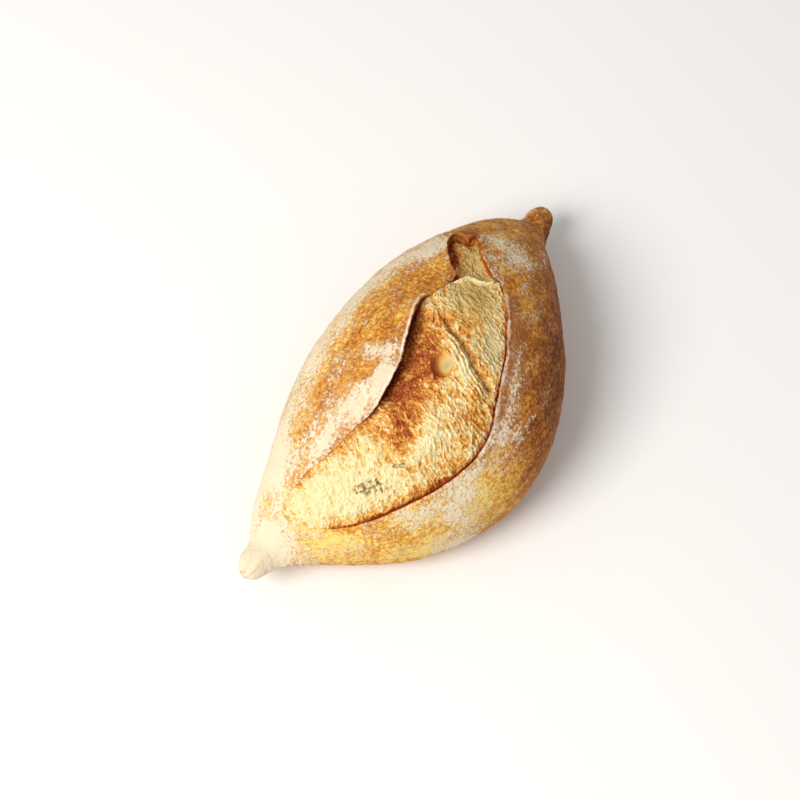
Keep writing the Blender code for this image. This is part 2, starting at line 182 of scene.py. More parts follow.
@dataclass(frozen=True)
class LoafForm:
    """The smooth loaf before its slash opened, with the driving dimensions of the solid."""

    length: float = 152 * MM
    body_half_length: float = 70.6 * MM
    ear_side_width: float = 33.7 * MM
    crease_side_width: float = 42.0 * MM
    height: float = 53.0 * MM
    crown_bend: float = 5.4 * MM
    widest_share: float = 0.40
    ear_side_power: float = 0.81
    crease_side_power: float = 1.10
    height_power: float = 0.55
    crease_side_skew: float = -6.6 * MM
    height_skew: float = 1.5 * MM
    top_roundness: float = 2.15
    lower_roundness: float = 3.0
    base_flatness: float = 1.05
    nipple_radius: float = 4.5 * MM
    nipple_cap: float = 7.0 * MM
    nipple_blend: float = 4.0 * MM
    near_nipple_height: float = 14.0 * MM
    far_nipple_height: float = 13.0 * MM
    near_nipple_swing: float = 5.4 * MM
    lift_start: float = 40.0 * MM
    lift_end: float = 75.0 * MM
    top_density: float = 0.38
    tip_density: float = 0.62
    angle_step: float = 1e-3
    pole_gap: float = 4e-3
    plan_step: float = 0.2 * MM

    def profile(self, x: Array, size: float, power: float, skew: float) -> Array:
        """A half-width or height along the loaf: a parabola to a power, closing at both ends.

        Args:
            x: Places along the loaf.
            size: The largest value.
            power: How full the loaf stays towards its ends.
            skew: How far the largest value moves along the loaf.

        Returns:
            The half-width or height at each place.
        """
        share = np.clip(x / self.body_half_length, -1.0, 1.0)
        shifted = share - skew / self.body_half_length * (1.0 - share * share)
        return size * np.clip(1.0 - shifted * shifted, 0.0, 1.0) ** power

    def section(self, x: Array) -> Section:
        """The loaf's cross-section.

        Args:
            x: Places along the loaf.

        Returns:
            The section at each place.
        """
        beyond_cap = (np.abs(x) - (self.length / 2 - self.nipple_cap)) / self.nipple_cap
        cap = np.sqrt(1.0 - np.clip(beyond_cap, 0.0, 1.0) ** 2)
        blend = self.nipple_blend * cap + TINY
        nipple = self.nipple_radius * cap
        near = x < 0.0
        nipple_height = np.where(near, self.near_nipple_height, self.far_nipple_height)
        tip_share = smooth_step((np.abs(x) - self.lift_start) / (self.lift_end - self.lift_start))
        ear_body = self.profile(x, self.ear_side_width, self.ear_side_power, 0.0)
        crease_body = self.profile(x, self.crease_side_width, self.crease_side_power, self.crease_side_skew)
        top_body = self.profile(x, self.height, self.height_power, self.height_skew)
        top = smooth_maximum(top_body, nipple_height + nipple, blend)
        top = np.where(np.abs(x) >= self.body_half_length, nipple_height + nipple, top)
        bottom = (nipple_height - nipple) * tip_share
        crown = -self.crown_bend * np.clip(1.0 - (x / self.body_half_length) ** 2, 0.0, 1.0)
        return Section(
            ear_side=smooth_maximum(ear_body, nipple, blend),
            crease_side=smooth_maximum(crease_body, nipple, blend),
            centre_y=crown + np.where(near, self.near_nipple_swing, 0.0) * tip_share,
            top=top,
            bottom=bottom,
            middle=bottom + (top - bottom) * (self.widest_share + (0.5 - self.widest_share) * tip_share),
            tip_share=tip_share,
        )

    def point(self, along: Array, around: Array) -> Array:
        """The surface at two angles.

        Args:
            along: 0 at the near tip to pi at the far tip.
            around: The turn about X, from the ear's side over the top.

        Returns:
            One place for each pair of angles.
        """
        spread = self.tip_density * np.cos(along) + (1.0 - self.tip_density) * (1.0 - 2.0 * along / math.pi)
        x = -self.length / 2 * spread
        cut = self.section(x)
        turn = around + self.top_density * np.cos(around)
        sideways, upwards = np.cos(turn), np.sin(turn)
        upper = upwards >= 0.0
        roundness = np.where(upper, self.top_roundness, self.lower_roundness)
        roundness = roundness + (2.0 - roundness) * cut.tip_share
        flatness = np.where(upper, 1.0, self.base_flatness + (1.0 - self.base_flatness) * cut.tip_share)
        reach_y = np.abs(sideways) ** (2.0 / roundness)
        reach_z = np.minimum(flatness * np.abs(upwards) ** (2.0 / roundness), 1.0)
        y = cut.centre_y + np.where(sideways >= 0.0, cut.ear_side, -cut.crease_side) * reach_y
        z = cut.middle + np.where(upper, cut.top - cut.middle, cut.bottom - cut.middle) * reach_z
        return np.stack([x, y, z], axis=-1)

    def normal(self, along: Array, around: Array) -> Array:
        """The outward normal at two angles, from small steps along both.

        Args:
            along: 0 at the near tip to pi at the far tip.
            around: The turn about X, from the ear's side over the top.

        Returns:
            One normal for each pair of angles.
        """
        step = self.angle_step
        along = np.clip(along, self.pole_gap, math.pi - self.pole_gap)
        lengthwise = self.point(along + step, around) - self.point(along - step, around)
        crosswise = self.point(along, around + step) - self.point(along, around - step)
        return unit(np.cross(crosswise, lengthwise))

    def above(self, plan: Array) -> Array:
        """The loaf's upper side.

        Args:
            plan: Places in plan.

        Returns:
            The point of the upper side above each place.
        """
        cut = self.section(plan[:, 0])
        offset = plan[:, 1] - cut.centre_y
        side = np.where(offset >= 0.0, cut.ear_side, cut.crease_side)
        roundness = self.top_roundness + (2.0 - self.top_roundness) * cut.tip_share
        sideways = np.clip(np.abs(offset) / side, 0.0, 1.0) ** (roundness / 2.0)
        upwards = np.sqrt(1.0 - sideways**2) ** (2.0 / roundness)
        return np.column_stack([plan, cut.middle + (cut.top - cut.middle) * upwards])

    def normal_above(self, plan: Array) -> Array:
        """The outward normal of the loaf's upper side.

        Args:
            plan: Places in plan.

        Returns:
            The normal above each place.
        """
        steps = (np.array([self.plan_step, 0.0]), np.array([0.0, self.plan_step]))
        climbs = [(self.above(plan + step) - self.above(plan - step))[:, 2] for step in steps]
        slopes = [-climb / (2.0 * self.plan_step) for climb in climbs]
        return unit(np.column_stack([*slopes, np.ones(len(plan))]))


@dataclass(frozen=True)
class Unevenness:
    """The slow bumps of a hand-shaped crust, left off the flat base."""

    bumps: Wave = Wave(0.55 * MM, 21)
    base_clearance: float = 3.0 * MM

    def at(self, points: Array) -> Array:
        """How far each point moves outwards."""
        return self.bumps.at(points) * smooth_step(points[:, 2] / self.base_clearance - 1.0)


@dataclass(frozen=True)
class Lip:
    """The crust's edge and the crumb beside it along one stretch of the slash, in millimetres.

    The edge stands up by rise, which fades over reach, and leans over the crumb by overhang. It is
    thickness thick and tear ragged. The crumb lies seat deep beside it and comes up over seat_reach.
    pale is the edge's pale line, partly flour and partly painted highlight, red the dark line along it,
    dust the flour band on the crust beside it, band the baked band on the crumb, band_reach wide. Those
    five are shares.
    """

    rise: float
    reach: float
    overhang: float
    thickness: float
    seat: float
    seat_reach: float
    tear: float
    pale: float
    red: float
    dust: float
    band: float
    band_reach: float


class LipKind(Enum):
    """How the crust ends along one stretch of the slash."""

    SEAM = Lip(0.25, 2.5, 0.1, 0.5, 0.25, 1.2, 0.55, 0.0, 0.15, 0.0, 0.38, 2.4)
    TIP_SEAM = Lip(0.05, 3.0, 0.0, 0.4, 0.05, 1.2, 0.50, 0.0, 0.00, 0.0, 0.08, 1.6)
    EAR_START = Lip(0.8, 4.0, 0.5, 0.5, 1.60, 3.0, 0.40, 0.4, 0.75, 0.0, 0.50, 3.0)
    # Under the ear the crumb's wide band is darker: partly deeper bake, partly painted shadow of the ear.
    EAR = Lip(2.4, 8.0, 1.3, 0.5, 4.60, 5.0, 0.42, 1.0, 1.00, 0.0, 0.45, 5.0)
    EAR_TIP = Lip(1.3, 3.5, 0.8, 0.5, 1.60, 2.0, 0.50, 0.9, 0.50, 0.0, 0.15, 2.0)
    SOFT = Lip(0.15, 2.0, 0.0, 0.5, 0.15, 1.6, 1.10, 0.0, 0.00, 0.0, 0.05, 2.5)
    WALL = Lip(0.5, 2.0, 0.1, 0.5, 2.60, 1.3, 0.45, 0.0, 0.55, 0.0, 0.85, 2.3)
    RIGHT_WALL = Lip(0.5, 1.6, 0.4, 0.6, 0.90, 1.6, 1.10, 0.0, 0.60, 0.0, 0.90, 0.7)
    FLAP = Lip(0.9, 2.5, 0.8, 0.6, 2.60, 1.6, 1.40, 0.0, 0.10, 0.0, 0.60, 1.6)
    CREASE = Lip(0.5, 3.0, 0.30, 0.40, 1.20, 1.2, 0.40, 0.85, 1.0, 0.00, 0.05, 0.8)
    CREASE_LOW = Lip(0.7, 3.5, 0.25, 0.45, 1.30, 1.6, 0.30, 0.5, 0.9, 0.12, 0.50, 3.2)
    CREASE_FADE = Lip(0.35, 3.0, 0.1, 0.5, 0.70, 1.4, 0.35, 0.0, 0.45, 0.05, 0.55, 2.2)
    CREASE_TOP = Lip(0.4, 2.5, 0.1, 0.5, 0.60, 1.4, 0.45, 0.5, 0.45, 0.0, 0.00, 1.5)


@dataclass(frozen=True)
class Bulge:
    """A rounded rise or hollow in plan: its centre and radii in millimetres, its turn in degrees."""

    x: float
    y: float
    long_radius: float
    short_radius: float
    turn: float
    height: float

    def spread(self, plan: Array) -> Array:
        """How far out from the centre points lie.

        Args:
            plan: Places in plan, in metres.

        Returns:
            The square of each point's distance in radii.
        """
        turn = math.radians(self.turn)
        offset = plan[:, :2] / MM - np.array([self.x, self.y])
        lengthwise = offset[:, 0] * math.cos(turn) + offset[:, 1] * math.sin(turn)
        crosswise = offset[:, 1] * math.cos(turn) - offset[:, 0] * math.sin(turn)
        return (lengthwise / self.long_radius) ** 2 + (crosswise / self.short_radius) ** 2

    def share(self, plan: Array, extra: Array | float = 0.0) -> Array:
        """How strongly each point belongs to the bulge.

        Args:
            plan: Places in plan, in metres.
            extra: Another offset of each place, in metres, such as its height above the centre.

        Returns:
            1 at the centre, fading to 0.
        """
        return np.exp(-self.spread(plan) - (extra / MM / self.short_radius) ** 2)

    def rise(self, plan: Array) -> Array:
        """The bulge's height over each point of the plan, in metres."""
        return self.height * MM * self.share(plan)


@dataclass(frozen=True)
class Painting:
    """A value spread over the roll: one everywhere, and dabs that add to it or take from it."""

    everywhere: float
    dabs: tuple[Bulge, ...]

    @staticmethod
    def of(everywhere: float, *dabs: tuple[float, ...]) -> "Painting":
        """A painting from each dab's numbers, in the order of a bulge's fields."""
        return Painting(everywhere, tuple(Bulge(*dab) for dab in dabs))

    def at(self, form: LoafForm, points: Array) -> Array:
        """The value at each point of the loaf.

        Args:
            form: The loaf that the dabs lie on.
            points: Places on it.

        Returns:
            The values, not clipped.
        """
        value = np.full(len(points), self.everywhere)
        for dab in self.dabs:
            centre = form.above(np.array([[dab.x * MM, dab.y * MM]]))[0]
            value += dab.height * dab.share(points, points[:, 2] - centre[2])
        return value


@dataclass(frozen=True)
class RimField:
    """Where points lie from the slash's edge: the distance inside it, the place along it, the way in."""

    distance: Array
    place: Array
    inward: Array


class Slash:
    """The line on the loaf along which the crust ends, round the long slash and the short one."""

    RUNS = (
        (LipKind.TIP_SEAM, (-58.5, 2.0), (-55.5, 5.2)),
        (LipKind.SEAM, (-48.2, 3.8), (-40.5, 0.2), (-31.0, -2.7)),
        (LipKind.EAR_START, (-24.6, -4.1)),
        (LipKind.EAR, (-18.9, -3.6), (-13.6, -2.9), (-9.2, -2.0), (-5.5, -0.4), (-0.9, 1.1), (5.0, 3.2)),
        (LipKind.EAR_TIP, (10.9, 3.6)),
        (LipKind.SOFT, (14.2, 1.6), (19.0, 0.6)),
        (LipKind.WALL, (22.8, 0.4), (25.4, 3.6), (29.0, 7.2), (33.6, 10.0)),
        (LipKind.FLAP, (37.6, 11.0), (38.8, 8.2), (38.6, 6.2), (41.2, 5.4)),
        (LipKind.RIGHT_WALL, (40.6, 3.0), (36.2, -0.6), (33.2, -4.0), (30.8, -8.0)),
        (LipKind.CREASE_TOP, (28.9, -12.4), (24.8, -16.2)),
        (
            LipKind.CREASE, (18.0, -21.2), (11.0, -25.5), (3.5, -28.7), (-3.5, -31.7), (-10.0, -34.3),
            (-16.5, -34.9),
        ),
        (LipKind.CREASE_LOW, (-24.0, -33.4), (-34.0, -28.8), (-44.5, -21.5)),
        (LipKind.CREASE_FADE, (-52.6, -13.5)),
        (LipKind.TIP_SEAM, (-57.3, -5.0)),
    )
    POINTS_PER_SPAN = 48
    CHUNK = 20000
    TEARS = (Wave(0.6, 3.0, 5.0), Wave(0.5, 1.3, 9.0))
    SHARES = ("pale", "red", "dust", "band")

    def __init__(self, form: LoafForm) -> None:
        """Lays the edge on the loaf, with the way inwards at each of its points.

        Args:
            form: The smooth loaf.
        """
        corners = np.array([place for _, *places in self.RUNS for place in places])
        self.lips = [kind.value for kind, *places in self.RUNS for _ in places]
        self.plan = self._closed_curve(corners)
        self.points = form.above(self.plan)
        self.ahead = unit(np.roll(self.points, -1, axis=0) - np.roll(self.points, 1, axis=0))
        self.inward = unit(np.cross(self.ahead, form.normal_above(self.plan)))
        self.tree = kdtree.KDTree(len(self.points))
        for index, place in enumerate(self.points):
            self.tree.insert(place, index)
        self.tree.balance()

    def _closed_curve(self, corners: Array) -> Array:
        """A smooth closed curve through corners.

        Args:
            corners: The corners in millimetres.

        Returns:
            The curve's points in metres.
        """
        shares = np.arange(self.POINTS_PER_SPAN)[:, None] / self.POINTS_PER_SPAN
        points = []
        for index in range(len(corners)):
            before, start, end, after = (corners[(index + step) % len(corners)] for step in (-1, 0, 1, 2))
            curved = (2.0 * before - 5.0 * start + 4.0 * end - after) * shares**2
            curved = curved + (3.0 * start - before - 3.0 * end + after) * shares**3
            points.append(0.5 * (2.0 * start + (end - before) * shares + curved))
        return np.concatenate(points) * MM

    def _is_inside(self, plan: Array) -> Array:
        """Whether points of the plan lie inside the line, by the edges that a ray from each crosses.

        Args:
            plan: Places in plan.

        Returns:
            True for each place inside.
        """
        start, end = self.plan, np.roll(self.plan, -1, axis=0)
        climb = np.where(end[:, 1] == start[:, 1], TINY, end[:, 1] - start[:, 1])
        inside = []
        for first in range(0, len(plan), self.CHUNK):
            x, y = plan[first : first + self.CHUNK, :1], plan[first : first + self.CHUNK, 1:2]
            spans = (start[:, 1] > y) != (end[:, 1] > y)
            crossing = start[:, 0] + (y - start[:, 1]) / climb * (end[:, 0] - start[:, 0])
            inside.append((spans & (x < crossing)).sum(axis=1) % 2 == 1)
        return np.concatenate(inside)

    def field(self, points: Array) -> RimField:
        """Where points lie from the edge.

        Args:
            points: Places on the loaf.

        Returns:
            The distance, the place along the edge and the way in, for each point.
        """
        nearest = np.array([self.tree.find(place)[1] for place in points])
        offset = points - self.points[nearest]
        along = (offset * self.ahead[nearest]).sum(axis=1)
        gap = np.sqrt(np.maximum((offset**2).sum(axis=1) - along**2, 0.0))
        sign = np.where(self._is_inside(points[:, :2]), 1.0, -1.0)
        return RimField(gap * sign, nearest / self.POINTS_PER_SPAN, self.inward[nearest])

    def lip(self, place: Array) -> Lip:
        """The lip at places along the edge.

        Args:
            place: Places along the corners of the edge, 0 at the first.

        Returns:
            The lip there, with its lengths in metres and its shares as they are.
        """
        first = np.floor(place).astype(int) % len(self.lips)
        blend = smooth_step(place - np.floor(place))
        values = {}
        for item in fields(Lip):
            sizes = np.array([getattr(lip, item.name) for lip in self.lips])
            sizes = sizes * (1.0 if item.name in self.SHARES else MM)
            values[item.name] = sizes[first] * (1.0 - blend) + sizes[(first + 1) % len(self.lips)] * blend
        return Lip(**values)

    def torn(self, rim: RimField, lip: Lip, points: Array) -> Array:
        """The distance inside the edge of each point once the edge is torn ragged."""
        return rim.distance + lip.tear * sum(wave.at(points) for wave in self.TEARS)


@dataclass(frozen=True)
class Fold:
    """A ridge along a route in plan, or a groove where its height is negative, in millimetres."""

    route: Route
    height: float
    half_width: float

    def side(self, plan: Array) -> Array:
        """How far points lie from the route.

        Args:
            plan: Places in plan, in metres.

        Returns:
            Each distance in metres, with a minus sign to the right of the route.
        """
        corners = np.array(self.route) * MM
        start, step = corners[:-1], np.diff(corners, axis=0)
        share = ((plan[:, None] - start) * step).sum(-1) / (step * step).sum(-1)
        offset = plan[:, None] - start - np.clip(share, 0.0, 1.0)[..., None] * step
        gap = np.linalg.norm(offset, axis=-1)
        rows, nearest = np.arange(len(plan)), gap.argmin(axis=1)
        turned = step[nearest, 0] * offset[rows, nearest, 1] - step[nearest, 1] * offset[rows, nearest, 0]
        return np.copysign(gap[rows, nearest], turned)

    def rise(self, plan: Array) -> Array:
        """The fold's height over each point of the plan, in metres."""
        return self.height * MM * bell(self.side(plan), self.half_width * MM)


@dataclass(frozen=True)
class PoreCluster:
    """A patch of burst gas cells in the crumb: where it lies, its depth in millimetres, how open it is."""

    region: Bulge
    depth: float
    openness: float


@dataclass(frozen=True)
class CrumbForm:
    """The level of the torn crumb, measured outwards from the smooth loaf, in millimetres."""

    floor: float = -1.0
    short_floor: float = -2.9
    seat_roundness: float = 1.25
    bulges: tuple[Bulge, ...] = (
        Bulge(-42.0, -9.0, 14.0, 9.0, -35, 2.2),
        Bulge(-21.0, -21.0, 14.0, 9.0, -15, 3.0),
        Bulge(-2.0, -15.0, 9.0, 5.0, -70, 2.2),
        Bulge(16.0, -9.0, 10.0, 7.0, -50, -0.7),
    )
    short_bulge: Bulge = Bulge(33.0, 0.5, 7.0, 4.0, 55, 0.6)
    bubble: Bulge = Bulge(-4.1, -13.3, 3.7, 3.2, 35, -3.0)
    bubble_roundness: float = 0.7
    valley: Fold = Fold(
        ((9.5, -5.5), (7.2, -9.4), (6.2, -12.6), (2.8, -18.0), (0.6, -21.9), (-1.0, -27.5)), -1.9, 1.0
    )
    pulled: Fold = Fold(((6.0, -7.5), (2.2, -13.5), (-2.0, -19.5), (-6.0, -26.0)), 0.9, 1.9)
    film: Fold = Fold(
        (
            (19.0, 1.8), (22.8, -1.9), (24.3, -2.8), (25.0, -4.6), (25.2, -6.8), (26.4, -8.8),
            (28.2, -10.6), (31.5, -13.2),
        ),
        0.45, 0.34,
    )
    film_blend: float = 1.1

    def seated(self, plan: Array, within: Array, lip: Lip) -> Array:
        """The crumb's level in metres once its border lies as deep as the lip says.

        Args:
            plan: Places in plan.
            within: How far inside the slash's edge each place is.
            lip: The lip nearest to each place.

        Returns:
            The levels, measured outwards from the smooth loaf.
        """
        share = np.exp(-((within / lip.seat_reach) ** self.seat_roundness))
        return self.level(plan) * (1.0 - share) - lip.seat * share

    def level(self, plan: Array) -> Array:
        """The crumb's level away from the slash's edge.

        Args:
            plan: Places in plan.

        Returns:
            The level at each place, in metres.
        """
        long_level = self.floor * MM + sum(bulge.rise(plan) for bulge in self.bulges)
        long_level += self.valley.rise(plan)
        long_level += self.pulled.rise(plan)
        hollowed = np.clip(1.0 - self.bubble.spread(plan), 0.0, 1.0) ** self.bubble_roundness
        long_level += self.bubble.height * MM * hollowed
        short_level = self.short_floor * MM + self.short_bulge.rise(plan)
        side = self.film.side(plan)
        beyond = smooth_step(0.5 + side / (self.film_blend * MM))
        level = long_level * (1.0 - beyond) + short_level * beyond
        return level + (self.film.height * MM - level) * bell(side, self.film.half_width * MM)


@dataclass(frozen=True)
class NodeSheet:
    """A node tree with short ways to add and join its nodes."""

    tree: bpy.types.NodeTree

    def add(self, kind: str, **settings: object) -> bpy.types.Node:
        """Adds a node.

        Args:
            kind: The node's type.
            settings: Its properties, by name.

        Returns:
            The node.
        """
        node = self.tree.nodes.new(kind)
        for name, value in settings.items():
            setattr(node, name, value)
        return node

    def feed(self, socket: Socket, value: object) -> None:
        """Links a socket to an output, or sets it to a constant.

        Args:
            socket: The input.
            value: The output or the constant.
        """
        if isinstance(value, Socket):
            self.tree.links.new(value, socket)
        else:
            socket.default_value = value

    def math(self, operation: str, *values: object, clamp: bool = False) -> Socket:
        """The result of a Math node.

        Args:
            operation: The node's operation.
            values: Up to three outputs or numbers.
            clamp: Whether the result is held between 0 and 1.

        Returns:
            The result's socket.
        """
        node = self.add("ShaderNodeMath", operation=operation, use_clamp=clamp)
        for socket, value in zip(node.inputs, values):
            self.feed(socket, value)
        return node.outputs[0]

    def scaled(self, value: object, factor: object, offset: object) -> Socket:
        """A value times a factor, plus an offset."""
        return self.math("MULTIPLY_ADD", value, factor, offset)

    def centred(self, value: object, strength: float) -> Socket:
        """A value about 0.5 turned into one about 0, of the given strength."""
        return self.scaled(value, strength, -0.5 * strength)

    def dimmed(self, value: object, share: float) -> Socket:
        """1 where a value is 0, and less by the share where it is 1."""
        return self.scaled(value, -share, 1.0)

    def product(self, first: object, second: object) -> Socket:
        """Two values multiplied."""
        return self.math("MULTIPLY", first, second)

    def mix(self, share: object, first: object, second: object) -> Socket:
        """A first colour mixed with a share of a second one.

        Args:
            share: How much of the second one, 0 to 1.
            first, second: The colours.

        Returns:
            The mixed colour's socket.
        """
        node = self.add("ShaderNodeMix", data_type="RGBA", clamp_factor=True)
        for index, value in ((0, share), (6, first), (7, second)):
            self.feed(node.inputs[index], value)
        return node.outputs[2]

    def ramp(
        self, value: object, low: float, high: float, start: float = 0.0, end: float = 1.0
    ) -> Socket:
        """A value from low to high, spread smoothly from start to end and held outside.

        Args:
            value: The value.
            low, high: Where the ramp begins and ends.
            start, end: The results there.

        Returns:
            The result's socket.
        """
        node = self.add("ShaderNodeMapRange", interpolation_type="SMOOTHSTEP", clamp=True)
        for index, number in enumerate((value, low, high, start, end)):
            self.feed(node.inputs[index], number)
        return node.outputs[0]

    def noise(self, vector: object, scale: object, detail: float, roughness: float = 0.5) -> Socket:
        """The value of a noise texture, about 0.5 on average.

        Args:
            vector: The place.
            scale: The bumps in a metre.
            detail: How many finer noises join it.
            roughness: How strong those are.

        Returns:
            The value's socket.
        """
        node = self.add("ShaderNodeTexNoise", noise_dimensions="3D")
        values = {"Vector": vector, "Scale": scale, "Detail": detail, "Roughness": roughness}
        for name, value in values.items():
            self.feed(node.inputs[name], value)
        return node.outputs[0]

    def attribute(self, name: str) -> Socket:
        """A value kept at the mesh's vertices."""
        return self.add("ShaderNodeAttribute", attribute_name=name).outputs["Fac"]

    def place(self, stretch: float = 1.0, turn: float = 0.0) -> Socket:
        """Object coordinates, turned about Z in degrees and stretched along X.

        Args:
            stretch: How much longer a pattern gets along X.
            turn: The turn of that axis.

        Returns:
            The coordinates' socket.
        """
        node = self.add("ShaderNodeMapping", vector_type="TEXTURE")
        self.feed(node.inputs["Vector"], self.add("ShaderNodeTexCoord").outputs["Object"])
        self.feed(node.inputs["Rotation"], (0.0, 0.0, math.radians(turn)))
        self.feed(node.inputs["Scale"], (stretch, 1.0, 1.0))
        return node.outputs[0]

    def group(self, effect: "Effect", **values: object) -> dict[str, Socket]:
        """Places a shared effect.

        Args:
            effect: The effect.
            values: Its inputs, by name.

        Returns:
            Its outputs, by name.
        """
        node = self.add("ShaderNodeGroup", node_tree=effect.tree)
        for name, value in values.items():
            self.feed(node.inputs[name.replace("_", " ").capitalize()], value)
        return {socket.name: socket for socket in node.outputs}


class Effect:
    """A shader node group with named inputs and outputs, built once and used by several finishes."""

    KINDS = {float: "NodeSocketFloat", tuple: "NodeSocketColor", Vector: "NodeSocketVector"}

    def __init__(self, name: str, inputs: dict[str, object], outputs: dict[str, type]) -> None:
        """Makes the group's sockets.

        Args:
            name: The group's name.
            inputs: Each input's name and its value where nothing is linked to it.
            outputs: Each output's name and kind.
        """
        self.tree = bpy.data.node_groups.new(name, "ShaderNodeTree")
        for label, value in inputs.items():
            kind = self.KINDS[type(value)]
            socket = self.tree.interface.new_socket(label, in_out="INPUT", socket_type=kind)
            if not isinstance(value, Vector):
                socket.default_value = value
        for label, kind in outputs.items():
            self.tree.interface.new_socket(label, in_out="OUTPUT", socket_type=self.KINDS[kind])
        self.sheet = NodeSheet(self.tree)
        self.inputs = self.sheet.add("NodeGroupInput").outputs[: len(inputs)]
        self.outputs = self.sheet.add("NodeGroupOutput").inputs

    def put_out(self, **values: object) -> None:
        """Links the group's outputs, by name."""
        for name, value in values.items():
            self.sheet.feed(self.outputs[name.capitalize()], value)


@dataclass(frozen=True)
class SharedEffects:
    """The effects that the finishes share: grain and veins, bake colours and flour dust."""

    grain: Effect
    bake: Effect
    flour: Effect

    @staticmethod
    def make() -> "SharedEffects":
        """Builds each effect once."""
        return SharedEffects(SharedEffects._grain(), SharedEffects._bake(), SharedEffects._flour())

    @staticmethod
    def _grain() -> Effect:
        """Grain of two sizes: a speckle about 0.5, a height for bump, and thin winding veins.

        Returns:
            The effect.
        """
        effect = Effect(
            "grain", {"Place": Vector(), "Coarse": 1000.0, "Fine": 2400.0, "Share": 0.5},
            {"Speckle": float, "Height": float, "Veins": float},
        )
        sheet = effect.sheet
        place, coarse_scale, fine_scale, share = effect.inputs
        coarse = sheet.noise(place, coarse_scale, detail=2.0, roughness=0.6)
        fine = sheet.noise(place, fine_scale, detail=2.0, roughness=0.6)
        blended = sheet.add("ShaderNodeMix", data_type="FLOAT")
        for index, value in ((0, share), (2, coarse), (3, fine)):
            sheet.feed(blended.inputs[index], value)
        height = blended.outputs[0]
        from_middle = sheet.math("ABSOLUTE", sheet.math("ADD", coarse, -0.5))
        veins = sheet.ramp(from_middle, 0.0, 0.05, start=1.0, end=0.0)
        effect.put_out(speckle=sheet.ramp(height, 0.3, 0.7), height=height, veins=veins)
        return effect

    @staticmethod
    def _bake() -> Effect:
        """The colours that a surface passes through as it bakes, from pale to dark.

        Returns:
            The effect.
        """
        colours = {"Pale": (1.0,) * 4, "Gold": (0.6,) * 4, "Brown": (0.3,) * 4, "Dark": (0.1,) * 4}
        effect = Effect("bake_colours", {"Baked": 0.5, **colours}, {"Colour": tuple})
        baked, colour, *darker = effect.inputs
        for following, low, high in zip(darker, (0.0, 0.38, 0.68), (0.42, 0.75, 1.3)):
            colour = effect.sheet.mix(effect.sheet.ramp(baked, low, high), colour, following)
        effect.put_out(colour=colour)
        return effect

    @staticmethod
    def _flour() -> Effect:
        """Flour that veils a surface thinly and covers more specks of it the more of it there is.

        Returns:
            The effect.
        """
        effect = Effect(
            "flour_dust",
            {
                "Place": Vector(), "Surface": (0.5,) * 4, "Flour": (0.9,) * 4, "Amount": 0.5, "Calm": 0.0,
                "Size": 1100.0, "Sharpness": 4.0, "Veil": 0.3,
            },
            {"Colour": tuple, "Cover": float},
        )
        sheet = effect.sheet
        place, surface, flour, amount, calm, size, sharpness, veil = effect.inputs
        specks = sheet.noise(place, size, detail=3.0, roughness=0.55)
        uneven = sheet.product(sheet.math("ADD", specks, -0.5), sheet.scaled(calm, -0.8, 1.0))
        above = sheet.math("ADD", uneven, sheet.scaled(amount, 0.62, -0.31))
        specked = sheet.math("MULTIPLY_ADD", above, sharpness, 0.5, clamp=True)
        veiled = sheet.product(sheet.ramp(amount, 0.1, 1.0), veil)
        cover = sheet.scaled(sheet.math("SUBTRACT", 1.0, specked), veiled, specked)
        effect.put_out(colour=sheet.mix(cover, surface, flour), cover=cover)
        return effect


def new_material(name: str) -> tuple[bpy.types.Material, NodeSheet, bpy.types.Node]:
    """A material with its sheet of nodes and its Principled shader.

    Args:
        name: The material's name.

    Returns:
        The material, its nodes and its shader.
    """
    material = bpy.data.materials.new(name)
    material.use_nodes = True
    return material, NodeSheet(material.node_tree), material.node_tree.nodes["Principled BSDF"]


@dataclass(frozen=True)
class BakedFinish:
    """The colours that the crust and the crumb pass through as they bake, with the shader's own values."""

    pale: Colour
    gold: Colour
    brown: Colour
    dark: Colour
    red: Colour
    specular: float
    bump_depth: float

    def baked(self, sheet: NodeSheet, effects: SharedEffects, bake: Socket, shift: Socket) -> Socket:
        """The bake colour where the bake is shifted by a mottling."""
        bake_colours = {"pale": self.pale, "gold": self.gold, "brown": self.brown, "dark": self.dark}
        return sheet.group(effects.bake, baked=sheet.math("ADD", bake, shift), **bake_colours)["Colour"]

    def finish(
        self, sheet: NodeSheet, shader: bpy.types.Node, looks: dict[str, Socket], height: Socket
    ) -> None:
        """Feeds the shader.

        Args:
            sheet: The material's nodes.
            shader: Its Principled shader.
            looks: The shader's inputs, by name.
            height: The relief, 0 to 1.
        """
        for name, value in looks.items():
            sheet.feed(shader.inputs[name], value)
        sheet.feed(shader.inputs["Specular IOR Level"], self.specular)
        bump = sheet.add("ShaderNodeBump")
        sheet.feed(bump.inputs["Height"], height)
        sheet.feed(bump.inputs["Distance"], self.bump_depth)
        sheet.feed(shader.inputs["Normal"], bump.outputs["Normal"])


